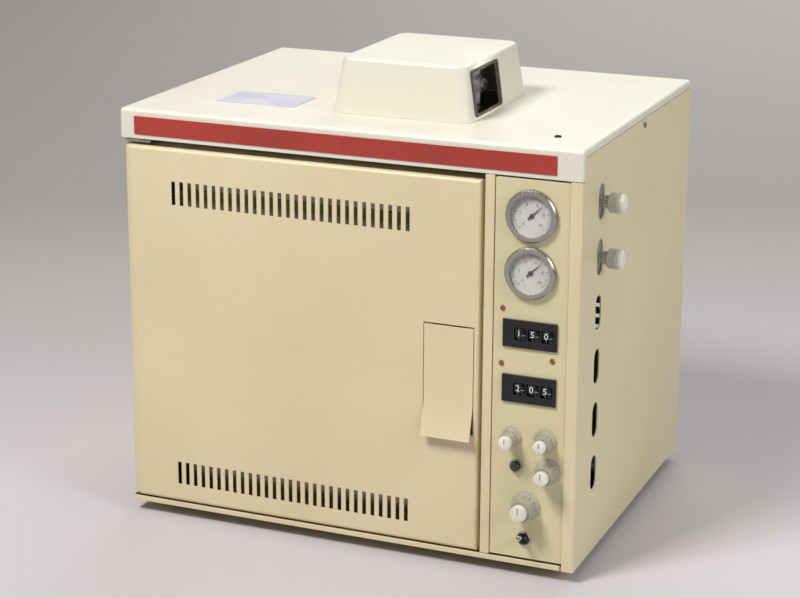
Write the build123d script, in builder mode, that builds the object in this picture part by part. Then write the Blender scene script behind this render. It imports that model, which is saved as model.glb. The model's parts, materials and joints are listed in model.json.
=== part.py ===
from build123d import *
from math import cos, radians, sin, tan
import os

os.makedirs("parts", exist_ok=True)

# Bench gas chromatograph: a sheet-steel cabinet with a column oven behind a hinged front
# door, a control panel to its right, flow controllers on the right side and a raised cover
# over the injection ports. Millimetres, +Z up, front face towards -Y.
# Sizes inside the cabinet are taken from its front, left, bottom corner: x to the right,
# y to the rear, z up.

# ---------------------------------------------------------------- driving dimensions
# Cabinet
CABINET_W = 470.0
CABINET_D = 362.0
CABINET_H = 405.0
SHEET = 1.5                  # panel steel
SEAT = 0.1                   # gap left between two fixed pieces that bear on each other
CORNER_R = 3.0               # upright outer corners
PAN_EDGE_H = 14.0            # upturned edges of the base pan
PAN_LIP_H = 5.0              # the pan's front edge, seen under the door

# Feet
FOOT_H = 12.0
FOOT_R = 12.0
FOOT_TAPER = 8.0             # degrees
FOOT_INSET = 40.0

# Top cover
LIP_H = 29.0                 # front lip
LIP_RETURN = 5.0             # how far the lip turns round the corner
SKIRT_H = 7.0                # side and rear edges
COVER_BEND = 4.0
SEAM = 0.8                   # open seam between cover and side panels
STRIP_X0 = 16.0              # coloured strip on the lip
STRIP_END = 25.0             # from the strip's right end to the cabinet's side
STRIP_H = 18.0
STRIP_T = 0.8
STRIP_DROP = 7.0             # strip's upper edge below the cover's top

# Side panels
RIGHT_FLANGE = 11.7          # front flange of the right panel
LEFT_FLANGE = 12.0
SIDE_SLOT_H = 34.0
SIDE_SLOT_W = 17.0
SIDE_SLOT_Y = 56.0
SIDE_SLOT_PITCH = 53.0
SIDE_SLOT_COUNT = 6
SIDE_SLOT_DROP = 59.0        # centre of the highest slot below the cabinet's top

# Front door
DOOR_Z0 = 6.0
DOOR_TOP_GAP = 7.0           # open gap between the door and the cover's lip
DOOR_POST_GAP = 3.5
DOOR_D = 22.0
DOOR_SHEET = 1.2
DOOR_ROUND = 14.0            # hinge-side upright edge
DOOR_EDGE_R = 4.0
HINGE_X = 8.0
HINGE_Y = 11.0
HINGE_PIN_R = 2.5
HINGE_LEAF_T = 2.4
HINGE_LEAF_W = 27.3
RUNNING = 0.05               # radial clearance of pins and shafts that turn
FRAME_Y = 26.0               # front face of the oven frame
LOUVRE_COUNT = 29
LOUVRE_PITCH = 8.73
LOUVRE_W = 4.0
LOUVRE_H = 23.5
LOUVRE_X = 178.8             # middle of both rows
LOUVRE_LOW = 30.5            # middle of the lower row above the door's bottom
LOUVRE_HIGH = 44.2           # middle of the upper row below the door's top
PLUG_D = 20.0                # insulated plug behind the door
PLUG_GAP = 4.0               # room round it, which its swing needs
GASKET_W = 8.0
GASKET_MARGIN = 4.0          # from the oven mouth to the gasket
GASKET_GAP = 0.3

# Door latch
LATCH_W = 50.6
LATCH_DROP = 141.0           # opening's upper edge below the door's top
LATCH_H = 110.0
LATCH_LIP = 32.0             # length of the flared finger lip
LATCH_FLARE = 9.0            # how far the finger lip stands out
LATCH_SHEET = 1.6
LATCH_GAP = 0.7
LATCH_HEAD_GAP = 1.6         # above the plate, which rises as it turns
LATCH_SILL = 4.0             # finger lip below the opening's lower edge
DISH_D = 13.0
LATCH_PIN_R = 1.5
LATCH_PIN_Y = 5.2
LATCH_PIN_DROP = 5.2         # pin below the opening's upper edge
HOOK_T = 3.0
HOOK_H = 6.0
HOOK_RISE = 3.6
HOOK_NOSE = 4.0

# Oven
OVEN_X0 = 42.0
OVEN_Z0 = 50.0
OVEN_RIGHT_ROOM = 51.5       # from the oven to the door's right edge
OVEN_TOP_ROOM = 75.0         # from the oven to the cabinet's top
OVEN_D = 204.0
LINER_T = 1.0
WOOL = 29.0                  # insulation round the liner
FRAME_MOUTH_R = 8.0
BAFFLE_ROOM = 45.6           # from the baffle's front to the oven's rear wall
BAFFLE_T = 1.2
BAFFLE_EDGE_GAP = 13.0
GRILLE_RADII = (18.5, 39.5)
GRILLE_COUNTS = (6, 12)
GRILLE_L = 15.0
GRILLE_W = 6.0
FAN_R = 58.0
FAN_HUB_R = 10.0
FAN_ROOM = 33.6              # from the wheel's front to the oven's rear wall
FAN_D = 20.0
FAN_PLATE_T = 1.5
FAN_BLADES = 8
BLADE_T = 1.2
SHAFT_R = 4.0
HEATER_R = 92.0
HEATER_TUBE_R = 3.0
SENSOR_R = 1.6
SENSOR_L = 58.0
SENSOR_DROP = 38.0           # below the oven's top
SENSOR_ROOM = 59.6           # in front of the oven's rear wall
MOTOR_R = 37.0
MOTOR_L = 58.0
MOTOR_PLATE = 88.0

# Columns: coiled tubes hung from the ports in the oven's ceiling
COIL_R = 45.0
COIL_PITCH = 7.0
COIL_TURNS = 3.5
COLUMN_R = 2.5
TUBE_SIDES = 8               # bent tubes are drawn with flats to keep them light
COIL_DROP = 125.0            # coil's middle below the oven's top
INJECTOR_INSET = 36.0        # injectors inside the port cover's right edge
INJECTOR_YS = (92.0, 137.0)
STUB_R = 4.2
NUT_AF = 13.0
NUT_H = 13.0
GROOVE_D = 2.0               # cooling grooves of the injector block

# Cover over the ports
HUMP_SIDE = 132.0            # from the cover to the cabinet's right side
HUMP_W = 143.0
HUMP_Y0 = 61.0
HUMP_D = 167.0
HUMP_H = 53.0
HUMP_TAPER = 8.0             # degrees, on all four sides
HUMP_CORNER_R = 13.0
HUMP_EDGE_R = 4.0
HOLE_INSET = 6.0             # opening in the top, inside the cover's walls
WINDOW_Y = 114.0             # middle of the window in its right face
WINDOW_Z = 25.5              # above the cabinet's top, along the face
WINDOW_W = 68.0
WINDOW_H = 42.0
WINDOW_R = 4.0
TRIM_W = 3.0
TRIM_T = 1.2
PORT_Z = 24.0                # injection ports above the cabinet's top
SCREW_R = 3.0
SCREW_HEAD = 1.2
SCREW_Y = 190.0

# Control panel
POST_W = 9.0
POST_GAP = 0.8               # between the post and the panel
PANEL_W = 71.2
PANEL_GAP = 0.3              # between the panel and the side panel's flange
PANEL_Z0 = 7.0
PANEL_TOP_GAP = 2.0
PANEL_Y = 1.0                # set back from the cabinet's front
PANEL_T = 2.0
PANEL_RETURN = 12.0
PANEL_R = 1.5

# Rows on the panel, from its top: the height that pieces take above the row's middle, then
# the gaps above it, which share out what height the pieces leave
GAUGE_IN = 35.2              # right of the panel's left edge
GAUGE_ROWS = ((24.5, 9.0), (73.5, 13.5))
GAUGE_R = 24.5
GAUGE_BORE_R = 21.0
GAUGE_BODY_R = 22.5
GAUGE_PROUD = 5.0
GAUGE_DEPTH = 26.0
DIAL_DROP = 4.5              # dial behind the bezel's front
DIAL_T = 0.8
BEZEL_EDGE = 1.2             # chamfer round the bezel
BEZEL_LIP = 1.5              # bezel over the lens
LENS_T = 1.2
ARBOR_R = 1.0
ARBOR_L = 6.0
NEEDLE_L = 15.0
NEEDLE_T = 0.5
NEEDLE_HUB_R = 2.2
NEEDLE_GAP = 0.5             # between the needle and the dial
NEEDLE_ANGLE = 45.0          # degrees clockwise from upright, at rest

SWITCH_IN = 9.6
SWITCH_ROWS = ((113.6, 32.4), (144.8, 54.4))
SWITCH_W = 52.6
SWITCH_H = 26.6
SWITCH_PROUD = 2.2
SWITCH_DEPTH = 30.0
SWITCH_WALL = 1.6
WHEEL_PITCH = 13.2
WHEEL_W = 10.0
WHEEL_R = 12.0               # digit drum, to its flats' corners
THUMB_R = 13.3               # toothed rim beside the digits
THUMB_W = 3.4
THUMB_TEETH = 20
TOOTH_GAP = 1.6              # square notch between teeth
WHEEL_Y = 11.6
AXLE_R = 2.0
WHEEL_SIDE = 0.7             # room beside and round a wheel
WHEEL_SHIFT = 4.0            # wheels' middle right of the housing's middle

LAMP_ROWS = ((8.7, 98.0, 25.5), (8.4, 129.2, 47.3), (57.8, 129.2, 39.8))
LAMP_R = 2.6
LAMP_PROUD = 1.8

# knob: name, place across, row, skirt radius, cap radius, reach in front of the panel
KNOB_TABLE = (
    ("knob_upper_left", 19.8, (170.9, 76.6), 9.0, 5.8, 21.0),
    ("knob_upper_right", 53.2, (170.9, 76.1), 10.5, 5.8, 21.0),
    ("knob_middle_right", 55.7, (193.4, 83.6), 12.0, 6.6, 22.0),
    ("knob_lower", 35.2, (218.9, 95.1), 13.5, 7.6, 24.0),
)
KNOB_GAP = 0.6               # between the skirt and the panel
KNOB_FLUTES = 12
FLUTE_R = 1.5
SKIRT_T = 3.0
SKIRT_STEP = 2.0             # skirt beyond the grip
KNOB_EDGE = 1.2
GRIP_TAPER = 1.5             # grip radius lost towards its front
SPINDLE_R = 3.0
BUSH_R = 4.6
POT_R = 9.0
POT_D = 12.0

BUTTON_IN = 24.7
BUTTON_ROW = (193.4, 82.1)
BUTTON_R = 4.6
BUTTON_PROUD = 5.0
BUTTON_TRAVEL = 2.5
BUTTON_SLIDE = 0.4           # radial room round the button
BUTTON_COLLAR = 1.5          # collar behind the panel, past the button
BUTTON_COLLAR_T = 1.6

TOGGLE_IN = 34.2
TOGGLE_ROW = (241.4, 105.1)
PANEL_PIECES = 250.4         # height that all the rows' pieces take
PANEL_GAPS = 116.6           # and their gaps, on a panel of the usual height
TOGGLE_W = 14.0
TOGGLE_H = 18.0
TOGGLE_DEPTH = 18.0
TOGGLE_BUSH_R = 6.0
TOGGLE_REST = 18.0           # degrees above level, switched on
LEVER_L = 19.0
LEVER_R = 1.7
LEVER_TIP_R = 2.6
BARREL_R = 2.6               # lever's root, which turns in the switch
THROAT_D = 4.0               # throat in front of the panel

# Flow controllers on the right side
FLOW_W = 26.0
FLOW_L = 30.0
FLOW_BUSH_R = 5.0
FLOW_NECK_R = 6.2
FLOW_GRIP_R = 9.6
FLOW_CAP_R = 8.4
FLOW_NECK_L = 5.0
FLOW_GRIP_L = 10.0
FLOW_CAP_L = 4.0
FLOW_GAP = 3.4               # neck clear of the side panel

# Rear
INLET_INSET = 40.0           # inside the cabinet's right side
INLET_Z = 62.0
INLET_W = 30.0
INLET_H = 24.0
INLET_MOUTH_W = 24.0
INLET_MOUTH_H = 16.0
INLET_D = 17.0
INLET_PROUD = 2.5
INLET_RIM_W = 6.0            # flange beyond the body
INLET_RIM_H = 4.0
INLET_PIN_L = 9.0
INLET_PIN_W = 2.0
INLET_PIN_H = 4.0
INLET_PINS = ((0, 2.0), (-7.0, -2.0), (7.0, -2.0))
FITTING_INSET = 24.0
FITTING_DROPS = (143.0, 179.0)
FITTING_R = 5.0
FITTING_AF = 14.0
FITTING_STUB_R = 3.175
FITTING_STUB_L = 10.0
FITTING_NUT_T = 6.0
PIPE_R = 1.6
PIPE_BEND = 14.0
VENT_COUNT = 9
VENT_PITCH = 12.0
VENT_L = 84.0
VENT_W = 4.0
ELECTRONICS_VENT_INSET = 58.0
ELECTRONICS_VENT_Z = 150.0

# Control board behind the panel
BOARD_T = 1.6
BOARD_MARGIN = 2.0           # from the panel's edges
BOARD_ROOM = 6.0             # behind the deepest gauge or switch
BOARD_FOOT_D = 24.0
BOARD_H = 186.8
TRANSFORMER_W = 58.0
TRANSFORMER_D = 64.0
TRANSFORMER_H = 54.0
TRANSFORMER_PLATE_W = 66.0
TRANSFORMER_PLATE_D = 80.0
TRANSFORMER_BACK = 110.0     # its middle behind the board
RELAY_W = 40.0
RELAY_H = 14.0
RELAY_D = 9.0
RELAY_PITCH = 34.0
RELAY_COUNT = 4

# ---------------------------------------------------------------- derived places
SIDE_REACH = FLOW_GAP + FLOW_NECK_L + FLOW_GRIP_L + FLOW_CAP_L
FRONT_REACH = max(reach for *_, reach in KNOB_TABLE) - PANEL_Y
REAR_REACH = FITTING_NUT_T + FITTING_STUB_L
SCREW_OUT = SEAT + SCREW_HEAD
LEFT = -(CABINET_W + SIDE_REACH - SCREW_OUT) / 2
FRONT = -(CABINET_D + REAR_REACH - FRONT_REACH) / 2
INNER_TOP = CABINET_H - SHEET
LIP_Z = CABINET_H - LIP_H
PANEL_X0 = CABINET_W - RIGHT_FLANGE - PANEL_GAP - PANEL_W
PANEL_TOP = LIP_Z - PANEL_TOP_GAP
POST_X = PANEL_X0 - POST_GAP - POST_W
DOOR_W = POST_X - DOOR_POST_GAP
DOOR_TOP = LIP_Z - DOOR_TOP_GAP
DOOR_H = DOOR_TOP - DOOR_Z0
LOUVRE_LOW_Z = DOOR_Z0 + LOUVRE_LOW
LOUVRE_HIGH_Z = DOOR_TOP - LOUVRE_HIGH
LATCH_TOP_Z = DOOR_TOP - LATCH_DROP
LATCH_BOTTOM_Z = LATCH_TOP_Z - LATCH_H
LATCH_BEND_Z = LATCH_BOTTOM_Z + LATCH_LIP
LATCH_X0 = DOOR_W - DOOR_EDGE_R - DOOR_SHEET - LATCH_W
hook_x = LATCH_X0 + LATCH_W / 2
pin_z = LATCH_TOP_Z - LATCH_PIN_DROP
OVEN_X1 = DOOR_W - OVEN_RIGHT_ROOM
OVEN_Z1 = CABINET_H - OVEN_TOP_ROOM
OVEN_W = OVEN_X1 - OVEN_X0
OVEN_H = OVEN_Z1 - OVEN_Z0
OVEN_Y0 = FRAME_Y + SHEET + SEAT
OVEN_Y1 = OVEN_Y0 + OVEN_D
OVEN_MID = (OVEN_X0 + OVEN_W / 2, OVEN_Z0 + OVEN_H / 2)
JACKET_TOP = OVEN_Z1 + LINER_T + SEAT + WOOL
JACKET_REAR = OVEN_Y1 + LINER_T + SEAT + WOOL
BAFFLE_Y = OVEN_Y1 - BAFFLE_ROOM
FAN_Y = OVEN_Y1 - FAN_ROOM
SENSOR_Y = OVEN_Y1 - SENSOR_ROOM
SENSOR_Z = OVEN_Z1 - SENSOR_DROP
HUMP_X0 = CABINET_W - HUMP_SIDE - HUMP_W
INJECTOR_X = HUMP_X0 + HUMP_W - INJECTOR_INSET
COIL_X = INJECTOR_X - COIL_R
COIL_Z = OVEN_Z1 - COIL_DROP
DETECTOR_X = INJECTOR_X - 2 * COIL_R
COIL_D = COIL_PITCH * COIL_TURNS
gap_share = (PANEL_TOP - PANEL_Z0 - PANEL_PIECES) / PANEL_GAPS


def row_z(pieces, gaps):
    """Height of a row on the panel."""
    return PANEL_TOP - pieces - gaps * gap_share


GAUGE_X = PANEL_X0 + GAUGE_IN
GAUGE_ZS = [row_z(*row) for row in GAUGE_ROWS]
SWITCH_X0 = PANEL_X0 + SWITCH_IN
SWITCH_ZS = [row_z(*row) for row in SWITCH_ROWS]
LAMPS = [(PANEL_X0 + right, row_z(*row)) for right, *row in LAMP_ROWS]
KNOBS = [(name, PANEL_X0 + right, row_z(*row), *rest) for name, right, row, *rest in KNOB_TABLE]
BUTTON_X = PANEL_X0 + BUTTON_IN
BUTTON_Z = row_z(*BUTTON_ROW)
TOGGLE_X = PANEL_X0 + TOGGLE_IN
TOGGLE_Z = row_z(*TOGGLE_ROW)
SIDE_SLOT_TOP = CABINET_H - SIDE_SLOT_DROP
INLET_X = CABINET_W - INLET_INSET
FITTING_X = CABINET_W - FITTING_INSET
FITTING_ZS = [CABINET_H - drop for drop in FITTING_DROPS]
ELECTRONICS_VENT_X = CABINET_W - ELECTRONICS_VENT_INSET


def spot(x, y, z):
    """A place in the cabinet, from its front, left, bottom corner."""
    return (LEFT + x, FRONT + y, FOOT_H + z)


def level(z):
    """Level sketch plane at height z: sketch x is x, sketch y is y."""
    return Plane(origin=spot(0, 0, z), x_dir=(1, 0, 0), z_dir=(0, 0, 1))


def upright(y):
    """Upright plane facing the front, y behind it: sketch x is x, sketch y is z."""
    return Plane(origin=spot(0, y, 0), x_dir=(1, 0, 0), z_dir=(0, -1, 0))


def side(x):
    """Upright plane facing the right side: sketch x is y, sketch y is z."""
    return Plane(origin=spot(x, 0, 0), x_dir=(0, 1, 0), z_dir=(1, 0, 0))


def depth_profile(x, z):
    """Plane for turned pieces that lie front to back: sketch x is radius, y is y."""
    return Plane(origin=spot(x, 0, z), x_dir=(1, 0, 0), z_dir=(0, 0, 1))


def depth_axis(x, z):
    return Axis(spot(x, 0, z), (0, 1, 0))


def side_profile(y, z):
    """Plane for turned pieces that lie left to right: sketch x is x, y is radius."""
    return Plane(origin=spot(0, y, z), x_dir=(1, 0, 0), z_dir=(0, -1, 0))


def side_axis(y, z):
    return Axis(spot(0, y, z), (1, 0, 0))


def rect(x0, y0, x1, y1, mode=Mode.ADD):
    """Rectangle by two opposite corners, in the open sketch."""
    with Locations(((x0 + x1) / 2, (y0 + y1) / 2)):
        Rectangle(x1 - x0, y1 - y0, mode=mode)


def outline(*points):
    """Closed straight-sided face through the points, in the open sketch."""
    Polygon(*points, align=None)


def save(part, name):
    part.label = name
    export_step(part, f"parts/{name}.step")


# ---------------------------------------------------------------- cabinet
with BuildPart() as base_pan:
    x0, x1 = SHEET + SEAT, CABINET_W - SHEET - SEAT
    y1 = CABINET_D - SHEET - SEAT
    with BuildSketch(level(0)):
        rect(x0, 0, x1, y1)
    extrude(amount=PAN_EDGE_H)
    with BuildSketch(level(SHEET)):
        rect(x0 + SHEET, SHEET, x1 - SHEET, y1 - SHEET)
    extrude(amount=PAN_EDGE_H, mode=Mode.SUBTRACT)
    # the front edge stays low, and its ends clear the side panels' front corners
    with BuildSketch(side(x0)):
        rect(-SHEET, PAN_LIP_H, FRAME_Y + 2 * SHEET, PAN_EDGE_H + SHEET)
    extrude(amount=x1 - x0, mode=Mode.SUBTRACT)
    with BuildSketch(level(0)):
        rect(x1 - RIGHT_FLANGE, -SEAT, x1 + SEAT, CORNER_R + SEAT)
    extrude(amount=PAN_EDGE_H, mode=Mode.SUBTRACT)
    # air slots under the electronics
    with BuildSketch(level(0)):
        with Locations(((PANEL_X0 + x1) / 2, CABINET_D / 2)):
            with GridLocations(0, VENT_PITCH, 1, VENT_COUNT):
                Rectangle(VENT_L / 2, VENT_W)
    extrude(amount=SHEET, mode=Mode.SUBTRACT)
save(base_pan.part, "base_pan")

with BuildPart() as rubber_feet:
    with BuildSketch(level(-SEAT / 2)):
        for x in (FOOT_INSET, CABINET_W - FOOT_INSET):
            for y in (FOOT_INSET, CABINET_D - FOOT_INSET):
                with Locations((x, y)):
                    Circle(FOOT_R)
    extrude(amount=-(FOOT_H - SEAT / 2), taper=FOOT_TAPER)
save(rubber_feet.part, "rubber_feet")

with BuildPart() as left_side_panel:
    with BuildSketch(level(0)):
        rect(0, FRAME_Y, LEFT_FLANGE, CABINET_D)
        rect(SHEET, FRAME_Y + SHEET, LEFT_FLANGE, CABINET_D, mode=Mode.SUBTRACT)
        rect(0, CABINET_D - SEAT, LEFT_FLANGE, CABINET_D, mode=Mode.SUBTRACT)
    extrude(amount=CABINET_H - SKIRT_H - SEAM)
    # the flange stops above the base pan's upturned edge
    with BuildSketch(level(0)):
        rect(SHEET, FRAME_Y - SHEET, LEFT_FLANGE, FRAME_Y + 2 * SHEET)
    extrude(amount=PAN_EDGE_H + SEAM, mode=Mode.SUBTRACT)
save(left_side_panel.part, "left_side_panel")

with BuildPart() as right_side_panel:
    inner_x = CABINET_W - RIGHT_FLANGE
    with BuildSketch(level(0)):
        rect(inner_x, 0, CABINET_W, CABINET_D - SEAT)
        corner = vertices().sort_by(lambda v: v.Y - v.X)[0]
        fillet(corner, radius=CORNER_R)
        with BuildSketch(level(0), mode=Mode.SUBTRACT):
            rect(inner_x, SHEET, CABINET_W - SHEET, CABINET_D)
            inner_corner = vertices().sort_by(lambda v: v.Y - v.X)[0]
            fillet(inner_corner, radius=CORNER_R - SHEET)
    extrude(amount=CABINET_H - SKIRT_H - SEAM)
    # clear of the cover's front lip
    with BuildSketch(level(LIP_Z - SEAM)):
        rect(inner_x, 0, CABINET_W, LIP_RETURN + SEAM)
    extrude(amount=LIP_H, mode=Mode.SUBTRACT)
    slot_zs = [SIDE_SLOT_TOP - n * SIDE_SLOT_PITCH for n in range(SIDE_SLOT_COUNT)]
    with BuildSketch(side(CABINET_W)):
        with Locations(*[(SIDE_SLOT_Y, z) for z in slot_zs]):
            SlotOverall(SIDE_SLOT_H, SIDE_SLOT_W, rotation=90)
    extrude(amount=-2 * SHEET, mode=Mode.SUBTRACT)
save(right_side_panel.part, "right_side_panel")

with BuildPart() as rear_panel:
    x0, x1 = SHEET + SEAT, CABINET_W - SHEET - SEAT
    z1 = CABINET_H - SKIRT_H - SEAM
    with BuildSketch(upright(CABINET_D)):
        rect(x0, 0, x1, z1)
    extrude(amount=SHEET)
    # forward-folded upper edge
    with BuildSketch(upright(CABINET_D - SHEET)):
        rect(x0, z1 - SHEET, x1, z1)
    extrude(amount=LEFT_FLANGE)
    # vents behind the fan motor and behind the electronics
    with BuildSketch(upright(CABINET_D)):
        with Locations(OVEN_MID, (ELECTRONICS_VENT_X, ELECTRONICS_VENT_Z)):
            with GridLocations(0, VENT_PITCH, 1, VENT_COUNT):
                Rectangle(VENT_L, VENT_W)
        with Locations((INLET_X, INLET_Z)):
            Rectangle(INLET_W - 2 * SHEET, INLET_H - 2 * SHEET)
        with Locations(*[(FITTING_X, z) for z in FITTING_ZS]):
            Circle(FITTING_R + SEAT)
    extrude(amount=SHEET, mode=Mode.SUBTRACT)
save(rear_panel.part, "rear_panel")

with BuildPart() as top_cover:
    with BuildSketch(level(LIP_Z)):
        rect(0, 0, CABINET_W, CABINET_D)
    extrude(amount=LIP_H)
    fillet(top_cover.edges().filter_by(Axis.Z), radius=CORNER_R)
    fillet(top_cover.faces().sort_by(Axis.Z)[-1].edges(), radius=COVER_BEND)
    offset(amount=-SHEET, openings=top_cover.faces().sort_by(Axis.Z)[0])
    # sides and rear are cut back to a shallow skirt
    with BuildSketch(level(LIP_Z)):
        rect(-SHEET, LIP_RETURN, CABINET_W + SHEET, CABINET_D + SHEET)
    extrude(amount=LIP_H - SKIRT_H, mode=Mode.SUBTRACT)
    # opening for the injector and detector blocks
    with BuildSketch(level(INNER_TOP - SHEET)):
        rect(HUMP_X0 + HOLE_INSET, HUMP_Y0 + HOLE_INSET,
             HUMP_X0 + HUMP_W - HOLE_INSET, HUMP_Y0 + HUMP_D - HOLE_INSET)
    extrude(amount=3 * SHEET, mode=Mode.SUBTRACT)
save(top_cover.part, "top_cover")

with BuildPart() as red_trim_strip:
    with BuildSketch(upright(-SEAT / 2)):
        strip_z1 = CABINET_H - STRIP_DROP
        rect(STRIP_X0, strip_z1 - STRIP_H, CABINET_W - STRIP_END, strip_z1)
    extrude(amount=STRIP_T)
save(red_trim_strip.part, "red_trim_strip")

# ---------------------------------------------------------------- oven frame and hinges
with BuildPart() as front_frame:
    x0, x1 = LEFT_FLANGE + SEAT, POST_X + POST_W
    post_z0, post_z1 = PAN_LIP_H + SEAM, LIP_Z - SEAM
    with BuildSketch(upright(FRAME_Y)):
        rect(x0, SHEET + SEAT, x1, INNER_TOP - SEAT)
        # mouth of the oven
        with Locations(OVEN_MID):
            RectangleRounded(OVEN_W, OVEN_H, FRAME_MOUTH_R, mode=Mode.SUBTRACT)
        # slot for the latch hook, whose upper edge the hook grips
        rect(hook_x - HOOK_T, pin_z - 4 * HOOK_T, hook_x + HOOK_T, pin_z + HOOK_H / 2 + LATCH_GAP,
             mode=Mode.SUBTRACT)
    extrude(amount=-SHEET)
    # folded post between the door and the control panel
    with BuildSketch(level(post_z0)):
        rect(POST_X, 0, POST_X + POST_W, FRAME_Y)
        rect(POST_X + SHEET, SHEET, POST_X + POST_W - SHEET, FRAME_Y, mode=Mode.SUBTRACT)
    extrude(amount=post_z1 - post_z0)
save(front_frame.part, "front_frame")

with BuildPart() as hinge_brackets:
    leaf_y0, leaf_y1 = HINGE_Y - 2.5 * HINGE_PIN_R, FRAME_Y - SEAT
    leaf_x0 = 2 * (SHEET + SEAT)
    leaf_x1 = leaf_x0 + HINGE_LEAF_W
    top_leaf_z = DOOR_TOP + (LIP_Z - DOOR_TOP - HINGE_LEAF_T) / 2
    pin_l = DOOR_SHEET + 3 * HINGE_PIN_R
    # upper leaf, its upturned tab on the oven frame and its pin
    with BuildSketch(level(top_leaf_z)):
        rect(leaf_x0, leaf_y0, leaf_x1, leaf_y1)
    extrude(amount=HINGE_LEAF_T)
    with BuildSketch(level(top_leaf_z)):
        rect(LEFT_FLANGE + SEAT, leaf_y1 - HINGE_LEAF_T, leaf_x1, leaf_y1)
    extrude(amount=LIP_H - 2 * SHEET)
    with BuildSketch(level(top_leaf_z)):
        with Locations((HINGE_X, HINGE_Y)):
            Circle(HINGE_PIN_R)
    extrude(amount=-(top_leaf_z - DOOR_TOP) - pin_l)
    # lower leaf on the base pan and its pin
    low_leaf_z = SHEET + SEAT
    with BuildSketch(level(low_leaf_z)):
        rect(leaf_x0, leaf_y0, leaf_x1, leaf_y1)
    extrude(amount=HINGE_LEAF_T)
    with BuildSketch(level(low_leaf_z + HINGE_LEAF_T)):
        with Locations((HINGE_X, HINGE_Y)):
            Circle(HINGE_PIN_R)
    extrude(amount=DOOR_Z0 - low_leaf_z - HINGE_LEAF_T + pin_l)
save(hinge_brackets.part, "hinge_brackets")

# ---------------------------------------------------------------- door
with BuildPart() as door_skin:
    with BuildSketch(upright(0)):
        rect(0, DOOR_Z0, DOOR_W, DOOR_TOP)
    extrude(amount=-DOOR_D)
    uprights = door_skin.edges().filter_by(Axis.Z)
    fillet(uprights.sort_by(lambda e: e.center().X + e.center().Y)[0], radius=DOOR_ROUND)
    front_edges = door_skin.faces().sort_by(Axis.Y)[0].edges()
    fillet(front_edges.sort_by(Axis.X)[1:], radius=DOOR_EDGE_R)
    offset(amount=-DOOR_SHEET, openings=door_skin.faces().sort_by(Axis.Y)[-1])
    # two rows of upright air slots
    with BuildSketch(upright(0)):
        with Locations((LOUVRE_X, (LOUVRE_LOW_Z + LOUVRE_HIGH_Z) / 2)):
            with GridLocations(LOUVRE_PITCH, LOUVRE_HIGH_Z - LOUVRE_LOW_Z, LOUVRE_COUNT, 2):
                Rectangle(LOUVRE_W, LOUVRE_H)
        # opening for the latch
        rect(LATCH_X0, LATCH_BOTTOM_Z + LATCH_SILL, LATCH_X0 + LATCH_W, LATCH_TOP_Z)
    extrude(amount=-2 * DOOR_SHEET, mode=Mode.SUBTRACT)
    # hinge holes through both folded ends
    with BuildSketch(level(DOOR_Z0)):
        with Locations((HINGE_X, HINGE_Y)):
            Circle(HINGE_PIN_R + RUNNING)
    extrude(amount=DOOR_H, mode=Mode.SUBTRACT)
save(door_skin.part, "door_skin")

plug = (OVEN_X0 + PLUG_GAP, OVEN_Z0 + PLUG_GAP, OVEN_X1 - PLUG_GAP, OVEN_Z1 - PLUG_GAP)
with BuildPart() as door_inner_pan:
    inset = DOOR_SHEET + SEAT
    with BuildSketch(upright(DOOR_D - DOOR_SHEET)):
        rect(HINGE_X + 2 * HINGE_PIN_R, DOOR_Z0 + inset, DOOR_W - inset, DOOR_TOP - inset)
    extrude(amount=-DOOR_SHEET)
    # raised plug, open towards the front
    with BuildSketch(upright(DOOR_D)):
        rect(*plug)
    extrude(amount=-PLUG_D)
    plug_back = door_inner_pan.faces().sort_by(Axis.Y)[-1]
    fillet(plug_back.edges(), radius=2 * DOOR_SHEET)
    with BuildSketch(upright(DOOR_D - 2 * DOOR_SHEET)):
        rect(plug[0] + DOOR_SHEET, plug[1] + DOOR_SHEET, plug[2] - DOOR_SHEET, plug[3] - DOOR_SHEET)
    extrude(amount=-(PLUG_D + DOOR_SHEET), mode=Mode.SUBTRACT)
    # slot for the latch hook
    with BuildSketch(upright(DOOR_D - 2 * DOOR_SHEET)):
        rect(hook_x - HOOK_T, pin_z - 3.2 * HOOK_T, hook_x + HOOK_T, pin_z + 2 * HOOK_T)
    extrude(amount=-3 * DOOR_SHEET, mode=Mode.SUBTRACT)
save(door_inner_pan.part, "door_inner_pan")

with BuildPart() as door_insulation:
    gap = DOOR_SHEET + GASKET_GAP
    with BuildSketch(upright(DOOR_D - 2 * DOOR_SHEET)):
        rect(plug[0] + gap, plug[1] + gap, plug[2] - gap, plug[3] - gap)
    extrude(amount=-(PLUG_D + DOOR_SHEET - GASKET_GAP))
save(door_insulation.part, "door_insulation")

with BuildPart() as door_gasket:
    near, far = GASKET_MARGIN, GASKET_MARGIN + GASKET_W
    with BuildSketch(upright(DOOR_D + SEAT)):
        rect(OVEN_X0 - far, OVEN_Z0 - far, OVEN_X1 + far, OVEN_Z1 + far)
        rect(OVEN_X0 - near, OVEN_Z0 - near, OVEN_X1 + near, OVEN_Z1 + near, mode=Mode.SUBTRACT)
    extrude(amount=-(FRAME_Y - DOOR_D - SEAT - GASKET_GAP))
    chamfer(door_gasket.faces().sort_by(Axis.Y)[-1].edges(), length=GASKET_W / 5)
save(door_gasket.part, "door_gasket")

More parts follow.
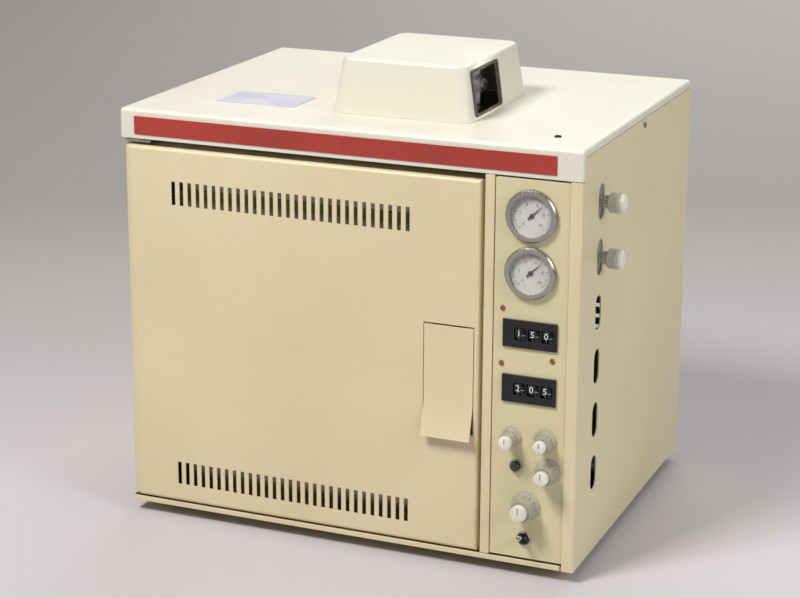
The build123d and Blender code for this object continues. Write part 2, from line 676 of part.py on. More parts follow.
with BuildPart() as latch_dish:
    wall = DOOR_SHEET
    dish_y0 = DOOR_SHEET + SEAT
    dish_x0, dish_x1 = LATCH_X0 - wall, LATCH_X0 + LATCH_W + wall
    dish_z0, dish_z1 = LATCH_BOTTOM_Z + LATCH_SILL - wall, LATCH_TOP_Z + wall
    with BuildSketch(upright(dish_y0)):
        rect(dish_x0, dish_z0, dish_x1, dish_z1)
    extrude(amount=-DISH_D)
    offset(amount=-wall, openings=latch_dish.faces().sort_by(Axis.Y)[0])
    # slot for the hook, and the hinge pin across the dish
    with BuildSketch(upright(dish_y0 + DISH_D - 2 * wall)):
        rect(hook_x - HOOK_T, pin_z - 2 * HOOK_T, hook_x + HOOK_T, pin_z + 1.6 * HOOK_T)
    extrude(amount=-3 * wall, mode=Mode.SUBTRACT)
    with BuildSketch(side(dish_x0)):
        with Locations((LATCH_PIN_Y, pin_z)):
            Circle(LATCH_PIN_R)
    extrude(amount=dish_x1 - dish_x0)
save(latch_dish.part, "latch_dish")

with BuildPart() as latch_paddle:
    x0, x1 = LATCH_X0 + LATCH_GAP, LATCH_X0 + LATCH_W - LATCH_GAP
    knuckle_r = LATCH_PIN_Y - LATCH_SHEET / 2
    knuckle_w = 7.0
    t = LATCH_SHEET
    # plate, bent outwards into a finger lip along its lower edge
    with BuildSketch(side(x0)):
        outline(
            (0, LATCH_TOP_Z - LATCH_HEAD_GAP), (t, LATCH_TOP_Z - LATCH_HEAD_GAP), (t, LATCH_BEND_Z),
            (t - LATCH_FLARE, LATCH_BOTTOM_Z), (-LATCH_FLARE, LATCH_BOTTOM_Z), (0, LATCH_BEND_Z),
        )
    extrude(amount=x1 - x0)
    # knuckles round the pin, the middle one carrying the hook
    for x, w in ((x0, knuckle_w), (x1 - knuckle_w, knuckle_w), (hook_x - HOOK_T / 2, HOOK_T)):
        with BuildSketch(side(x)):
            with Locations((LATCH_PIN_Y, pin_z)):
                Circle(knuckle_r)
        extrude(amount=w)
    hook_y = FRAME_Y + SHEET + GASKET_GAP
    with BuildSketch(side(hook_x - HOOK_T / 2)):
        outline(
            (LATCH_PIN_Y, pin_z - HOOK_H / 2), (hook_y + HOOK_NOSE, pin_z - HOOK_H / 2),
            (hook_y + HOOK_NOSE, pin_z), (hook_y, pin_z + HOOK_H / 2 + HOOK_RISE),
            (hook_y, pin_z + HOOK_H / 2), (LATCH_PIN_Y, pin_z + HOOK_H / 2),
        )
    extrude(amount=HOOK_T)
    with BuildSketch(side(x0)):
        with Locations((LATCH_PIN_Y, pin_z)):
            Circle(LATCH_PIN_R + RUNNING)
    extrude(amount=x1 - x0, mode=Mode.SUBTRACT)
save(latch_paddle.part, "latch_paddle")

# ---------------------------------------------------------------- oven
port_places = [(x, y + dy) for y in INJECTOR_YS for x, dy in ((INJECTOR_X, 0), (DETECTOR_X, COIL_D))]
with BuildPart() as oven_liner:
    t = LINER_T
    with BuildSketch(upright(OVEN_Y0)):
        rect(OVEN_X0 - t, OVEN_Z0 - t, OVEN_X1 + t, OVEN_Z1 + t)
    extrude(amount=-(OVEN_D + t))
    offset(amount=-t, openings=oven_liner.faces().sort_by(Axis.Y)[0])
    with BuildSketch(level(OVEN_Z1 - t)):
        with Locations(*port_places):
            Circle(STUB_R + SEAT)
    extrude(amount=3 * t, mode=Mode.SUBTRACT)
    with BuildSketch(upright(OVEN_Y1 - t)):
        with Locations(OVEN_MID):
            Circle(1.5 * SHAFT_R)
    extrude(amount=-3 * t, mode=Mode.SUBTRACT)
save(oven_liner.part, "oven_liner")

with BuildPart() as oven_jacket:
    gap = LINER_T + SEAT
    with BuildSketch(upright(OVEN_Y0)):
        rect(OVEN_X0 - gap - WOOL, OVEN_Z0 - gap - WOOL, OVEN_X1 + gap + WOOL, JACKET_TOP)
    extrude(amount=-(JACKET_REAR - OVEN_Y0))
    with BuildSketch(upright(OVEN_Y0)):
        rect(OVEN_X0 - gap, OVEN_Z0 - gap, OVEN_X1 + gap, OVEN_Z1 + gap)
    extrude(amount=-(OVEN_D + gap), mode=Mode.SUBTRACT)
    # pocket behind the frame for the latch hook
    with BuildSketch(upright(OVEN_Y0)):
        with Locations((hook_x, pin_z)):
            Rectangle(4 * HOOK_T, 8 * HOOK_T)
    extrude(amount=-2 * HOOK_NOSE, mode=Mode.SUBTRACT)
    with BuildSketch(level(OVEN_Z1)):
        with Locations(*port_places):
            Circle(STUB_R + SEAT)
    extrude(amount=2 * WOOL, mode=Mode.SUBTRACT)
    with BuildSketch(upright(OVEN_Y1)):
        with Locations(OVEN_MID):
            Circle(1.5 * SHAFT_R)
    extrude(amount=-2 * WOOL, mode=Mode.SUBTRACT)
save(oven_jacket.part, "oven_jacket")

with BuildPart() as fan_baffle:
    half_w = OVEN_W / 2 - BAFFLE_EDGE_GAP
    half_h = OVEN_H / 2 - BAFFLE_EDGE_GAP
    with BuildSketch(upright(BAFFLE_Y)):
        with Locations(OVEN_MID):
            RectangleRounded(2 * half_w, 2 * half_h, FRAME_MOUTH_R)
            # intake grille: two rings of slots in front of the fan
            for radius, count in zip(GRILLE_RADII, GRILLE_COUNTS):
                with PolarLocations(radius, count):
                    Rectangle(GRILLE_L, GRILLE_W, mode=Mode.SUBTRACT)
    extrude(amount=-BAFFLE_T)
    # four stand-offs to the rear wall
    with BuildSketch(upright(BAFFLE_Y + BAFFLE_T)):
        with Locations(OVEN_MID):
            with GridLocations(1.8 * half_w, 1.8 * half_h, 2, 2):
                RegularPolygon(SHAFT_R, 6)
    extrude(amount=-(OVEN_Y1 - BAFFLE_Y - BAFFLE_T - SEAT))
save(fan_baffle.part, "fan_baffle")

motor_y0 = JACKET_REAR + SEAT
# a curved blade, a thin strip along an arc from inside the hub to the rim
with BuildSketch() as blade:
    with BuildLine():
        ThreePointArc((FAN_HUB_R / 2, 0), (FAN_R / 2, FAN_R / 7), (FAN_R - BLADE_T, 0))
        offset(amount=BLADE_T / 2, side=Side.BOTH)
    make_face()
with BuildPart() as fan_wheel:
    cx, cz = OVEN_MID
    with BuildSketch(upright(FAN_Y)):
        with Locations((cx, cz)):
            Circle(FAN_HUB_R)
    extrude(amount=-FAN_D)
    with BuildSketch(upright(FAN_Y + FAN_D - FAN_PLATE_T)):
        with Locations((cx, cz)):
            Circle(FAN_R)
    extrude(amount=-FAN_PLATE_T)
    with BuildSketch(upright(FAN_Y)):
        with Locations((cx, cz)):
            with PolarLocations(0, FAN_BLADES):
                add(blade.sketch)
    extrude(amount=-(FAN_D - FAN_PLATE_T / 2))
    with BuildSketch(upright(FAN_Y - SHAFT_R)):
        with Locations((cx, cz)):
            Circle(SHAFT_R)
    extrude(amount=-(motor_y0 + MOTOR_L / 2 - FAN_Y + SHAFT_R))
save(fan_wheel.part, "fan_wheel")

with BuildPart() as fan_motor:
    cx, cz = OVEN_MID
    plate_t = 3.0
    boss_y = motor_y0 + plate_t
    with BuildSketch(upright(motor_y0)):
        with Locations((cx, cz)):
            RectangleRounded(MOTOR_PLATE, MOTOR_PLATE, CORNER_R)
    extrude(amount=-plate_t)
    with BuildSketch(upright(boss_y)):
        with Locations((cx, cz)):
            Circle(MOTOR_R)
    extrude(amount=-MOTOR_L)
    fillet(fan_motor.faces().sort_by(Axis.Y)[-1].edges(), radius=CORNER_R)
    with BuildSketch(upright(boss_y + MOTOR_L)):
        with Locations((cx, cz)):
            Circle(MOTOR_R / 3)
    extrude(amount=-plate_t)
    with BuildSketch(upright(motor_y0)):
        with Locations((cx, cz)):
            Circle(SHAFT_R + RUNNING)
    extrude(amount=-(MOTOR_L / 2 + plate_t), mode=Mode.SUBTRACT)
save(fan_motor.part, "fan_motor")

with BuildPart() as heater_ring:
    heater_y = FAN_Y + FAN_D / 2
    cx, cz = OVEN_MID
    with BuildSketch(depth_profile(cx, cz)):
        with Locations((HEATER_R, heater_y)):
            RegularPolygon(HEATER_TUBE_R, TUBE_SIDES)
    revolve(axis=depth_axis(cx, cz))
    # legs to the oven's rear wall
    with BuildSketch(upright(heater_y)):
        with Locations((cx, cz)):
            with PolarLocations(HEATER_R, 3, start_angle=90):
                RegularPolygon(0.7 * HEATER_TUBE_R, 6)
    extrude(amount=-(OVEN_Y1 - heater_y - SEAT))
save(heater_ring.part, "heater_ring")

with BuildPart() as temperature_sensor:
    tip_x = OVEN_X1 - SENSOR_L
    with BuildSketch(side(tip_x)):
        with Locations((SENSOR_Y, SENSOR_Z)):
            Circle(SENSOR_R)
    extrude(amount=SENSOR_L - SEAT)
    with BuildSketch(side(OVEN_X1 - SEAT - NUT_H / 2)):
        with Locations((SENSOR_Y, SENSOR_Z)):
            RegularPolygon(NUT_AF / 2, 6, major_radius=False)
    extrude(amount=NUT_H / 2)
save(temperature_sensor.part, "temperature_sensor")

nut_top = OVEN_Z1 - 2 * SEAT - LINER_T
leg_top = OVEN_Z1 + NUT_H
for name, port_y in zip(("column_front", "column_rear"), INJECTOR_YS):
    with BuildPart() as column:
        # down from the injector, round the coil in half turns, and up to the detector
        with BuildLine() as route:
            Line(spot(INJECTOR_X, port_y, leg_top), spot(INJECTOR_X, port_y, COIL_Z))
            for n in range(round(2 * COIL_TURNS)):
                way = 1 if n % 2 == 0 else -1
                y = port_y + n * COIL_PITCH / 2
                ThreePointArc(
                    spot(COIL_X + way * COIL_R, y, COIL_Z),
                    spot(COIL_X, y + COIL_PITCH / 4, COIL_Z - way * COIL_R),
                    spot(COIL_X - way * COIL_R, y + COIL_PITCH / 2, COIL_Z),
                )
            Line(spot(DETECTOR_X, port_y + COIL_D, COIL_Z), spot(DETECTOR_X, port_y + COIL_D, leg_top))
        with BuildSketch(Plane(origin=route.line @ 0, z_dir=(0, 0, -1))):
            RegularPolygon(COLUMN_R, TUBE_SIDES)
        sweep(path=route.line)
    nuts = []
    for x, y in ((INJECTOR_X, port_y), (DETECTOR_X, port_y + COIL_D)):
        with BuildPart() as nut:
            with BuildSketch(level(nut_top - NUT_H)):
                with Locations((x, y)):
                    RegularPolygon(NUT_AF / 2, 6, major_radius=False)
                    Circle(COLUMN_R + SEAT, mode=Mode.SUBTRACT)
            extrude(amount=NUT_H)
        nuts.append(nut.part)
    save(Compound(children=[column.part] + nuts), name)

# ---------------------------------------------------------------- ports and their cover
block_z0 = JACKET_TOP + SEAT
stub_z0 = OVEN_Z1 - LINER_T
with BuildPart() as injector_block:
    y0, y1 = INJECTOR_YS[0] - NUT_AF, INJECTOR_YS[1] + NUT_AF
    with BuildSketch(level(block_z0)):
        rect(INJECTOR_X - NUT_AF, y0, INJECTOR_X + NUT_AF, y1)
    extrude(amount=CABINET_H + PORT_Z + NUT_AF - block_z0)
    chamfer(injector_block.faces().sort_by(Axis.Z)[-1].edges(), length=NUT_AF / 8)
    # cooling grooves round the block
    for n in range(3):
        with BuildSketch(level(CABINET_H - NUT_AF + n * NUT_AF / 2)):
            rect(INJECTOR_X - 2 * NUT_AF, y0 - NUT_AF, INJECTOR_X + 2 * NUT_AF, y1 + NUT_AF)
            core_x = NUT_AF - GROOVE_D
            rect(INJECTOR_X - core_x, y0 + GROOVE_D, INJECTOR_X + core_x, y1 - GROOVE_D, mode=Mode.SUBTRACT)
        extrude(amount=NUT_AF / 5, mode=Mode.SUBTRACT)
    # port stubs through the oven's top
    with BuildSketch(level(stub_z0)):
        with Locations(*[(INJECTOR_X, y) for y in INJECTOR_YS]):
            Circle(STUB_R)
    extrude(amount=block_z0 - stub_z0 + SEAT)
    with BuildSketch(level(stub_z0)):
        with Locations(*[(INJECTOR_X, y) for y in INJECTOR_YS]):
            Circle(COLUMN_R + SEAT)
    extrude(amount=2 * NUT_H, mode=Mode.SUBTRACT)
save(injector_block.part, "injector_block")

with BuildPart() as septum_nuts:
    nut_x = INJECTOR_X + NUT_AF + SEAT
    for y in INJECTOR_YS:
        with BuildSketch(side(nut_x)):
            with Locations((y, CABINET_H + PORT_Z)):
                RegularPolygon(0.62 * NUT_AF, 12, major_radius=False)
        extrude(amount=0.55 * NUT_AF)
        with BuildSketch(side(nut_x)):
            with Locations((y, CABINET_H + PORT_Z)):
                Circle(0.42 * NUT_AF)
        extrude(amount=0.8 * NUT_AF)
        # syringe guide
        with BuildSketch(side(nut_x + 0.4 * NUT_AF)):
            with Locations((y, CABINET_H + PORT_Z)):
                Circle(1.2)
        extrude(amount=NUT_AF, mode=Mode.SUBTRACT)
save(septum_nuts.part, "septum_nuts")

with BuildPart() as detector_block:
    y0, y1 = INJECTOR_YS[0] + COIL_D - NUT_AF, INJECTOR_YS[1] + COIL_D + NUT_AF
    x0, x1 = DETECTOR_X - 0.7 * NUT_AF, DETECTOR_X + 1.6 * NUT_AF
    with BuildSketch(level(block_z0)):
        rect(x0, y0, x1, y1)
    extrude(amount=CABINET_H + NUT_AF - block_z0)
    chamfer(detector_block.faces().sort_by(Axis.Z)[-1].edges(), length=NUT_AF / 8)
    # two capped cells on top
    with BuildSketch(level(CABINET_H + NUT_AF)):
        with Locations(*[((x0 + x1) / 2, y + COIL_D) for y in INJECTOR_YS]):
            RegularPolygon(NUT_AF / 2, 6)
    extrude(amount=NUT_AF / 2)
    with BuildSketch(level(stub_z0)):
        with Locations(*[(DETECTOR_X, y + COIL_D) for y in INJECTOR_YS]):
            Circle(STUB_R)
    extrude(amount=block_z0 - stub_z0 + SEAT)
    with BuildSketch(level(stub_z0)):
        with Locations(*[(DETECTOR_X, y + COIL_D) for y in INJECTOR_YS]):
            Circle(COLUMN_R + SEAT)
    extrude(amount=2 * NUT_H, mode=Mode.SUBTRACT)
save(detector_block.part, "detector_block")

# the window's plane lies in the cover's sloping right face
slope = radians(HUMP_TAPER)
window_plane = Plane(
    origin=spot(HUMP_X0 + HUMP_W - WINDOW_Z * sin(slope), WINDOW_Y, CABINET_H + WINDOW_Z * cos(slope)),
    x_dir=(0, 1, 0), z_dir=(cos(slope), 0, sin(slope)),
)
with BuildPart() as port_cover:
    with BuildSketch(level(CABINET_H + SEAT)):
        with Locations((HUMP_X0 + HUMP_W / 2, HUMP_Y0 + HUMP_D / 2)):
            Rectangle(HUMP_W, HUMP_D)
    extrude(amount=HUMP_H, taper=HUMP_TAPER)
    ends = port_cover.faces().sort_by(Axis.Z)
    flat_edges = ends[0].edges() + ends[-1].edges()
    fillet([e for e in port_cover.edges() if e not in flat_edges], radius=HUMP_CORNER_R)
    fillet(port_cover.faces().sort_by(Axis.Z)[-1].edges(), radius=HUMP_EDGE_R)
    offset(amount=-SHEET, openings=port_cover.faces().sort_by(Axis.Z)[0])
    with BuildSketch(window_plane):
        RectangleRounded(WINDOW_W, WINDOW_H, WINDOW_R)
    extrude(amount=2 * SHEET, both=True, mode=Mode.SUBTRACT)
save(port_cover.part, "port_cover")

with BuildPart() as window_trim:
    with BuildSketch(window_plane.offset(SEAT)):
        RectangleRounded(WINDOW_W + 2 * TRIM_W, WINDOW_H + TRIM_W, WINDOW_R)
        RectangleRounded(WINDOW_W - TRIM_W, WINDOW_H - TRIM_W, WINDOW_R / 2, mode=Mode.SUBTRACT)
    extrude(amount=TRIM_T)
save(window_trim.part, "window_trim")

with BuildPart() as cover_screws:
    screw_z = CABINET_H - SKIRT_H - SEAM - 2 * SCREW_R
    for x, out in ((-SEAT, -SCREW_HEAD), (CABINET_W + SEAT, SCREW_HEAD)):
        with BuildSketch(side(x)):
            with Locations((SCREW_Y, screw_z)):
                Circle(SCREW_R)
        extrude(amount=out)
    with BuildSketch(upright(CABINET_D + SEAT)):
        with Locations((CABINET_W / 2, (CABINET_H - SKIRT_H) / 2)):
            with GridLocations(CABINET_W - 4 * LEFT_FLANGE, CABINET_H - 4 * LEFT_FLANGE, 2, 2):
                Circle(SCREW_R)
    extrude(amount=-SCREW_HEAD)
save(cover_screws.part, "cover_screws")

# ---------------------------------------------------------------- control panel
panel_back = PANEL_Y + PANEL_T
with BuildPart() as control_panel:
    with BuildSketch(upright(PANEL_Y)):
        rect(PANEL_X0, PANEL_Z0, PANEL_X0 + PANEL_W, PANEL_TOP)
    extrude(amount=-PANEL_RETURN)
    fillet(control_panel.edges().filter_by(Axis.Y), radius=PANEL_R)
    offset(amount=-PANEL_T, openings=control_panel.faces().sort_by(Axis.Y)[-1], kind=Kind.INTERSECTION)
    with BuildSketch(upright(PANEL_Y)):
        with Locations(*[(GAUGE_X, z) for z in GAUGE_ZS]):
            Circle(GAUGE_BODY_R + SEAT)
        for z in SWITCH_ZS:
            with Locations((SWITCH_X0 + SWITCH_W / 2, z)):
                Rectangle(SWITCH_W - 2 * SWITCH_WALL, SWITCH_H - 2 * SWITCH_WALL)
        with Locations(*LAMPS):
            Circle(LAMP_R + SEAT)
        with Locations(*[(x, z) for _, x, z, *_ in KNOBS]):
            Circle(BUSH_R + SEAT)
        with Locations((BUTTON_X, BUTTON_Z)):
            Circle(BUTTON_R + BUTTON_SLIDE)
        with Locations((TOGGLE_X, TOGGLE_Z)):
            Circle(TOGGLE_BUSH_R + SEAT)
    extrude(amount=-2 * PANEL_T, mode=Mode.SUBTRACT)
save(control_panel.part, "control_panel")

# Gauges: a cup with a bezel in front of the panel, a dial, a lens and a needle on an arbor
bezel_y = PANEL_Y - GAUGE_PROUD
dial_y = bezel_y + DIAL_DROP
with BuildPart() as gauge_cases:
    for z in GAUGE_ZS:
        with BuildSketch(depth_profile(GAUGE_X, z)):
            outline(
                (0, PANEL_Y + GAUGE_DEPTH), (GAUGE_BODY_R, PANEL_Y + GAUGE_DEPTH),
                (GAUGE_BODY_R, PANEL_Y - SEAT), (GAUGE_R, PANEL_Y - SEAT), (GAUGE_R, bezel_y + BEZEL_EDGE),
                (GAUGE_R - BEZEL_EDGE, bezel_y), (GAUGE_BORE_R - BEZEL_LIP, bezel_y),
                (GAUGE_BORE_R, bezel_y + BEZEL_LIP), (GAUGE_BORE_R, dial_y + DIAL_T + SEAT),
                (0, dial_y + DIAL_T + SEAT),
            )
        revolve(axis=depth_axis(GAUGE_X, z))
        with BuildSketch(upright(dial_y)):
            with Locations((GAUGE_X, z)):
                Circle(ARBOR_R + RUNNING)
        extrude(amount=-(ARBOR_L + NEEDLE_T), mode=Mode.SUBTRACT)
save(gauge_cases.part, "gauge_cases")

with BuildPart() as gauge_dials:
    with BuildSketch(upright(dial_y)):
        with Locations(*[(GAUGE_X, z) for z in GAUGE_ZS]):
            Circle(GAUGE_BORE_R - SEAT)
            Circle(ARBOR_R + RUNNING, mode=Mode.SUBTRACT)
    extrude(amount=-DIAL_T)
save(gauge_dials.part, "gauge_dials")

with BuildPart() as gauge_lenses:
    with BuildSketch(upright(bezel_y + BEZEL_LIP + SEAT)):
        with Locations(*[(GAUGE_X, z) for z in GAUGE_ZS]):
            Circle(GAUGE_BORE_R - SEAT)
    extrude(amount=-LENS_T)
save(gauge_lenses.part, "gauge_lenses")

for name, z in zip(("needle_upper", "needle_lower"), GAUGE_ZS):
    with BuildPart() as needle:
        needle_y = dial_y - NEEDLE_GAP - NEEDLE_T
        tip = (NEEDLE_L * sin(radians(NEEDLE_ANGLE)), NEEDLE_L * cos(radians(NEEDLE_ANGLE)))
        across = (cos(radians(NEEDLE_ANGLE)), -sin(radians(NEEDLE_ANGLE)))
        with BuildSketch(upright(needle_y)):
            with Locations((GAUGE_X, z)):
                Circle(NEEDLE_HUB_R)
                outline(
                    tip,
                    (across[0] - tip[0] / 3, across[1] - tip[1] / 3),
                    (-across[0] - tip[0] / 3, -across[1] - tip[1] / 3),
                )
        extrude(amount=-NEEDLE_T)
        with BuildSketch(upright(needle_y)):
            with Locations((GAUGE_X, z)):
                Circle(ARBOR_R)
        extrude(amount=-ARBOR_L)
    save(needle.part, name)

# Thumbwheel switches: a hollow housing with an axle, and three wheels that show a digit each
wheel_xs = [SWITCH_X0 + SWITCH_W / 2 + WHEEL_SHIFT + (n - 1) * WHEEL_PITCH for n in range(3)]
for tier, z in zip(("upper", "lower"), SWITCH_ZS):
    with BuildPart() as switch_housing:
        middle = SWITCH_X0 + SWITCH_W / 2
        face_y = PANEL_Y - SWITCH_PROUD
        with BuildSketch(upright(face_y)):
            with Locations((middle, z)):
                Rectangle(SWITCH_W, SWITCH_H)
        extrude(amount=-(SWITCH_PROUD - SEAT))
        box_w = SWITCH_W - 2 * SWITCH_WALL - 2 * SEAT
        box_h = SWITCH_H - 2 * SWITCH_WALL - 2 * SEAT
        with BuildSketch(upright(PANEL_Y - SEAT)):
            with Locations((middle, z)):
                Rectangle(box_w, box_h)
        extrude(amount=-(panel_back - PANEL_Y + 2 * SEAT))
        body_h = 2 * (THUMB_R + WHEEL_SIDE + SWITCH_WALL)
        with BuildSketch(upright(panel_back + SEAT)):
            with Locations((middle, z)):
                Rectangle(box_w, body_h)
        extrude(amount=-SWITCH_DEPTH)
        # room for the wheels, reached through three windows
        for wheel_x in wheel_xs:
            with BuildSketch(side(wheel_x - WHEEL_W / 2 - WHEEL_SIDE)):
                with Locations((WHEEL_Y, z)):
                    Circle(THUMB_R + WHEEL_SIDE)
            extrude(amount=WHEEL_W + 2 * WHEEL_SIDE, mode=Mode.SUBTRACT)
        with BuildSketch(side(wheel_xs[0] - WHEEL_W / 2 - SWITCH_WALL)):
            with Locations((WHEEL_Y, z)):
                Circle(AXLE_R)
        extrude(amount=2 * WHEEL_PITCH + WHEEL_W + 2 * SWITCH_WALL)
    save(switch_housing.part, f"switch_housing_{tier}")

    for place, wheel_x in zip(("hundreds", "tens", "units"), wheel_xs):
        with BuildPart() as digit_wheel:
            with BuildSketch(side(wheel_x - WHEEL_W / 2)):
                with Locations((WHEEL_Y, z)):
                    RegularPolygon(WHEEL_R, 10, rotation=18)
            extrude(amount=WHEEL_W - THUMB_W)
            # toothed rim for the thumb
            with BuildSketch(side(wheel_x + WHEEL_W / 2 - THUMB_W)):
                with Locations((WHEEL_Y, z)):
                    Circle(THUMB_R)
                    with PolarLocations(THUMB_R, THUMB_TEETH):
                        Rectangle(TOOTH_GAP, TOOTH_GAP, rotation=45, mode=Mode.SUBTRACT)
            extrude(amount=THUMB_W)
            with BuildSketch(side(wheel_x - WHEEL_W / 2)):
                with Locations((WHEEL_Y, z)):
                    Circle(AXLE_R + RUNNING)
            extrude(amount=WHEEL_W, mode=Mode.SUBTRACT)
        save(digit_wheel.part, f"digit_wheel_{tier}_{place}")

with BuildPart() as indicator_lamps:
    for x, z in LAMPS:
        with BuildSketch(depth_profile(x, z)):
            outline(
                (0, PANEL_Y - LAMP_PROUD), (0.6 * LAMP_R, PANEL_Y - 0.8 * LAMP_PROUD),
                (LAMP_R, PANEL_Y), (LAMP_R, panel_back), (LAMP_R + 1, panel_back + SEAT),
                (LAMP_R + 1, panel_back + 2 * LAMP_R), (0, panel_back + 2 * LAMP_R),
            )
        revolve(axis=depth_axis(x, z))
save(indicator_lamps.part, "indicator_lamps")

# Knobs on spindles that turn in the potentiometers' bushes
spindle_end = panel_back + POT_D / 2
for name, x, z, skirt_r, cap_r, reach in KNOBS:
    with BuildPart() as knob:
        tip_y, skirt_y = PANEL_Y - reach, PANEL_Y - KNOB_GAP
        grip_r = skirt_r - SKIRT_STEP
        cap_y = tip_y + 0.3 * reach
        recess_r = BUSH_R + KNOB_GAP
        with BuildSketch(depth_profile(x, z)):
            outline(
                (0, tip_y), (0.7 * cap_r, tip_y), (cap_r, tip_y + KNOB_EDGE), (cap_r, cap_y),
                (grip_r - GRIP_TAPER, cap_y), (grip_r, skirt_y - SKIRT_T),
                (skirt_r, skirt_y - 0.6 * SKIRT_T),
                (skirt_r, skirt_y), (recess_r, skirt_y), (recess_r, skirt_y - SKIRT_T),
                (SPINDLE_R, skirt_y - SKIRT_T), (SPINDLE_R, spindle_end), (0, spindle_end),
            )
        revolve(axis=depth_axis(x, z))
        # flutes round the grip
        with BuildSketch(upright(cap_y)):
            with Locations((x, z)):
                with PolarLocations(grip_r + FLUTE_R / 3, KNOB_FLUTES):
                    RegularPolygon(FLUTE_R, 4)
        extrude(amount=-(skirt_y - SKIRT_T - cap_y), mode=Mode.SUBTRACT)
    save(knob.part, name)

with BuildPart() as potentiometers:
    for _, x, z, *_ in KNOBS:
        with BuildSketch(upright(panel_back + SEAT)):
            with Locations((x, z)):
                Circle(POT_R)
        extrude(amount=-POT_D)
        with BuildSketch(upright(PANEL_Y - KNOB_GAP - 0.5 * SKIRT_T)):
            with Locations((x, z)):
                Circle(BUSH_R)
        extrude(amount=-(panel_back + SEAT - PANEL_Y + KNOB_GAP + 0.5 * SKIRT_T))
        with BuildSketch(upright(0)):
            with Locations((x, z)):
                Circle(SPINDLE_R + RUNNING)
        extrude(amount=-(spindle_end + 1), mode=Mode.SUBTRACT)
        with BuildSketch(upright(0)):
            with Locations((x, z)):
                Circle(SPINDLE_R + RUNNING)
        extrude(amount=4 * KNOB_GAP, mode=Mode.SUBTRACT)
save(potentiometers.part, "potentiometers")

with BuildPart() as push_button:
    guard_r = BUTTON_R + BUTTON_SLIDE
    with BuildSketch(depth_profile(BUTTON_X, BUTTON_Z)):
        outline(
            (0, PANEL_Y - BUTTON_PROUD), (BUTTON_R - 1, PANEL_Y - BUTTON_PROUD),
            (BUTTON_R, PANEL_Y - BUTTON_PROUD + 1), (BUTTON_R, panel_back + BUTTON_SLIDE),
            (BUTTON_R + BUTTON_COLLAR, panel_back + BUTTON_SLIDE),
            (BUTTON_R + BUTTON_COLLAR, panel_back + BUTTON_SLIDE + BUTTON_COLLAR_T),
            (0, panel_back + BUTTON_SLIDE + BUTTON_COLLAR_T),
        )
    revolve(axis=depth_axis(BUTTON_X, BUTTON_Z))
save(push_button.part, "push_button")

pivot_y = PANEL_Y + PANEL_T / 2
with BuildPart() as toggle_switch:
    with BuildSketch(upright(panel_back + SEAT)):
        with Locations((TOGGLE_X, TOGGLE_Z)):
            Rectangle(TOGGLE_W, TOGGLE_H)
    extrude(amount=-TOGGLE_DEPTH)
    with BuildSketch(upright(PANEL_Y - 1.5 * PANEL_T)):
        with Locations((TOGGLE_X, TOGGLE_Z)):
            Circle(TOGGLE_BUSH_R)
    extrude(amount=-(panel_back + SEAT - PANEL_Y + 1.5 * PANEL_T))
    # flared throat, in which the lever swings
    mouth_y = PANEL_Y - THROAT_D
    throat_w = 2 * (LEVER_R + BUTTON_SLIDE)
    reach = (pivot_y - mouth_y) * tan(radians(1.35 * TOGGLE_REST)) + 1.3 * LEVER_R
    with BuildSketch(side(TOGGLE_X - throat_w / 2)):
        outline(
            (mouth_y, TOGGLE_Z + reach), (pivot_y, TOGGLE_Z + LEVER_R),
            (pivot_y, TOGGLE_Z - LEVER_R), (mouth_y, TOGGLE_Z - reach),
        )
        with Locations((pivot_y, TOGGLE_Z)):
            Circle(BARREL_R + RUNNING)
    extrude(amount=throat_w, mode=Mode.SUBTRACT)
save(toggle_switch.part, "toggle_switch")

with BuildPart() as power_toggle:
    tilt = radians(TOGGLE_REST)
    lever_plane = Plane(
        origin=spot(TOGGLE_X, pivot_y, TOGGLE_Z), x_dir=(1, 0, 0),
        z_dir=(0, -cos(tilt), sin(tilt)),
    )
    with BuildSketch(lever_plane):
        Circle(LEVER_R)
    with BuildSketch(lever_plane.offset(LEVER_L)):
        Circle(LEVER_TIP_R)
    loft()
    fillet(power_toggle.faces().sort_by(Axis.Y)[0].edges(), radius=0.6 * LEVER_TIP_R)
    # round root, which turns in the switch
    with BuildSketch(side(TOGGLE_X - throat_w / 2 + RUNNING)):
        with Locations((pivot_y, TOGGLE_Z)):
            Circle(BARREL_R)
    extrude(amount=throat_w - 2 * RUNNING)
save(power_toggle.part, "power_toggle")

# ---------------------------------------------------------------- flow controllers
flow_zs = (slot_zs[0], slot_zs[1])
inner_face = CABINET_W - SHEET - SEAT
with BuildPart() as flow_controllers:
    for z in flow_zs:
        with BuildSketch(side(inner_face)):
            with Locations((SIDE_SLOT_Y, z)):
                RectangleRounded(FLOW_W, 1.6 * FLOW_W, CORNER_R)
        extrude(amount=-FLOW_L)
        with BuildSketch(side(inner_face)):
            with Locations((SIDE_SLOT_Y, z)):
                Circle(FLOW_BUSH_R)
        extrude(amount=SHEET + SEAT + 0.8 * FLOW_GAP)
        with BuildSketch(side(inner_face - FLOW_L / 2)):
            with Locations((SIDE_SLOT_Y, z)):
                Circle(SPINDLE_R + RUNNING)
        extrude(amount=FLOW_L, mode=Mode.SUBTRACT)
save(flow_controllers.part, "flow_controllers")

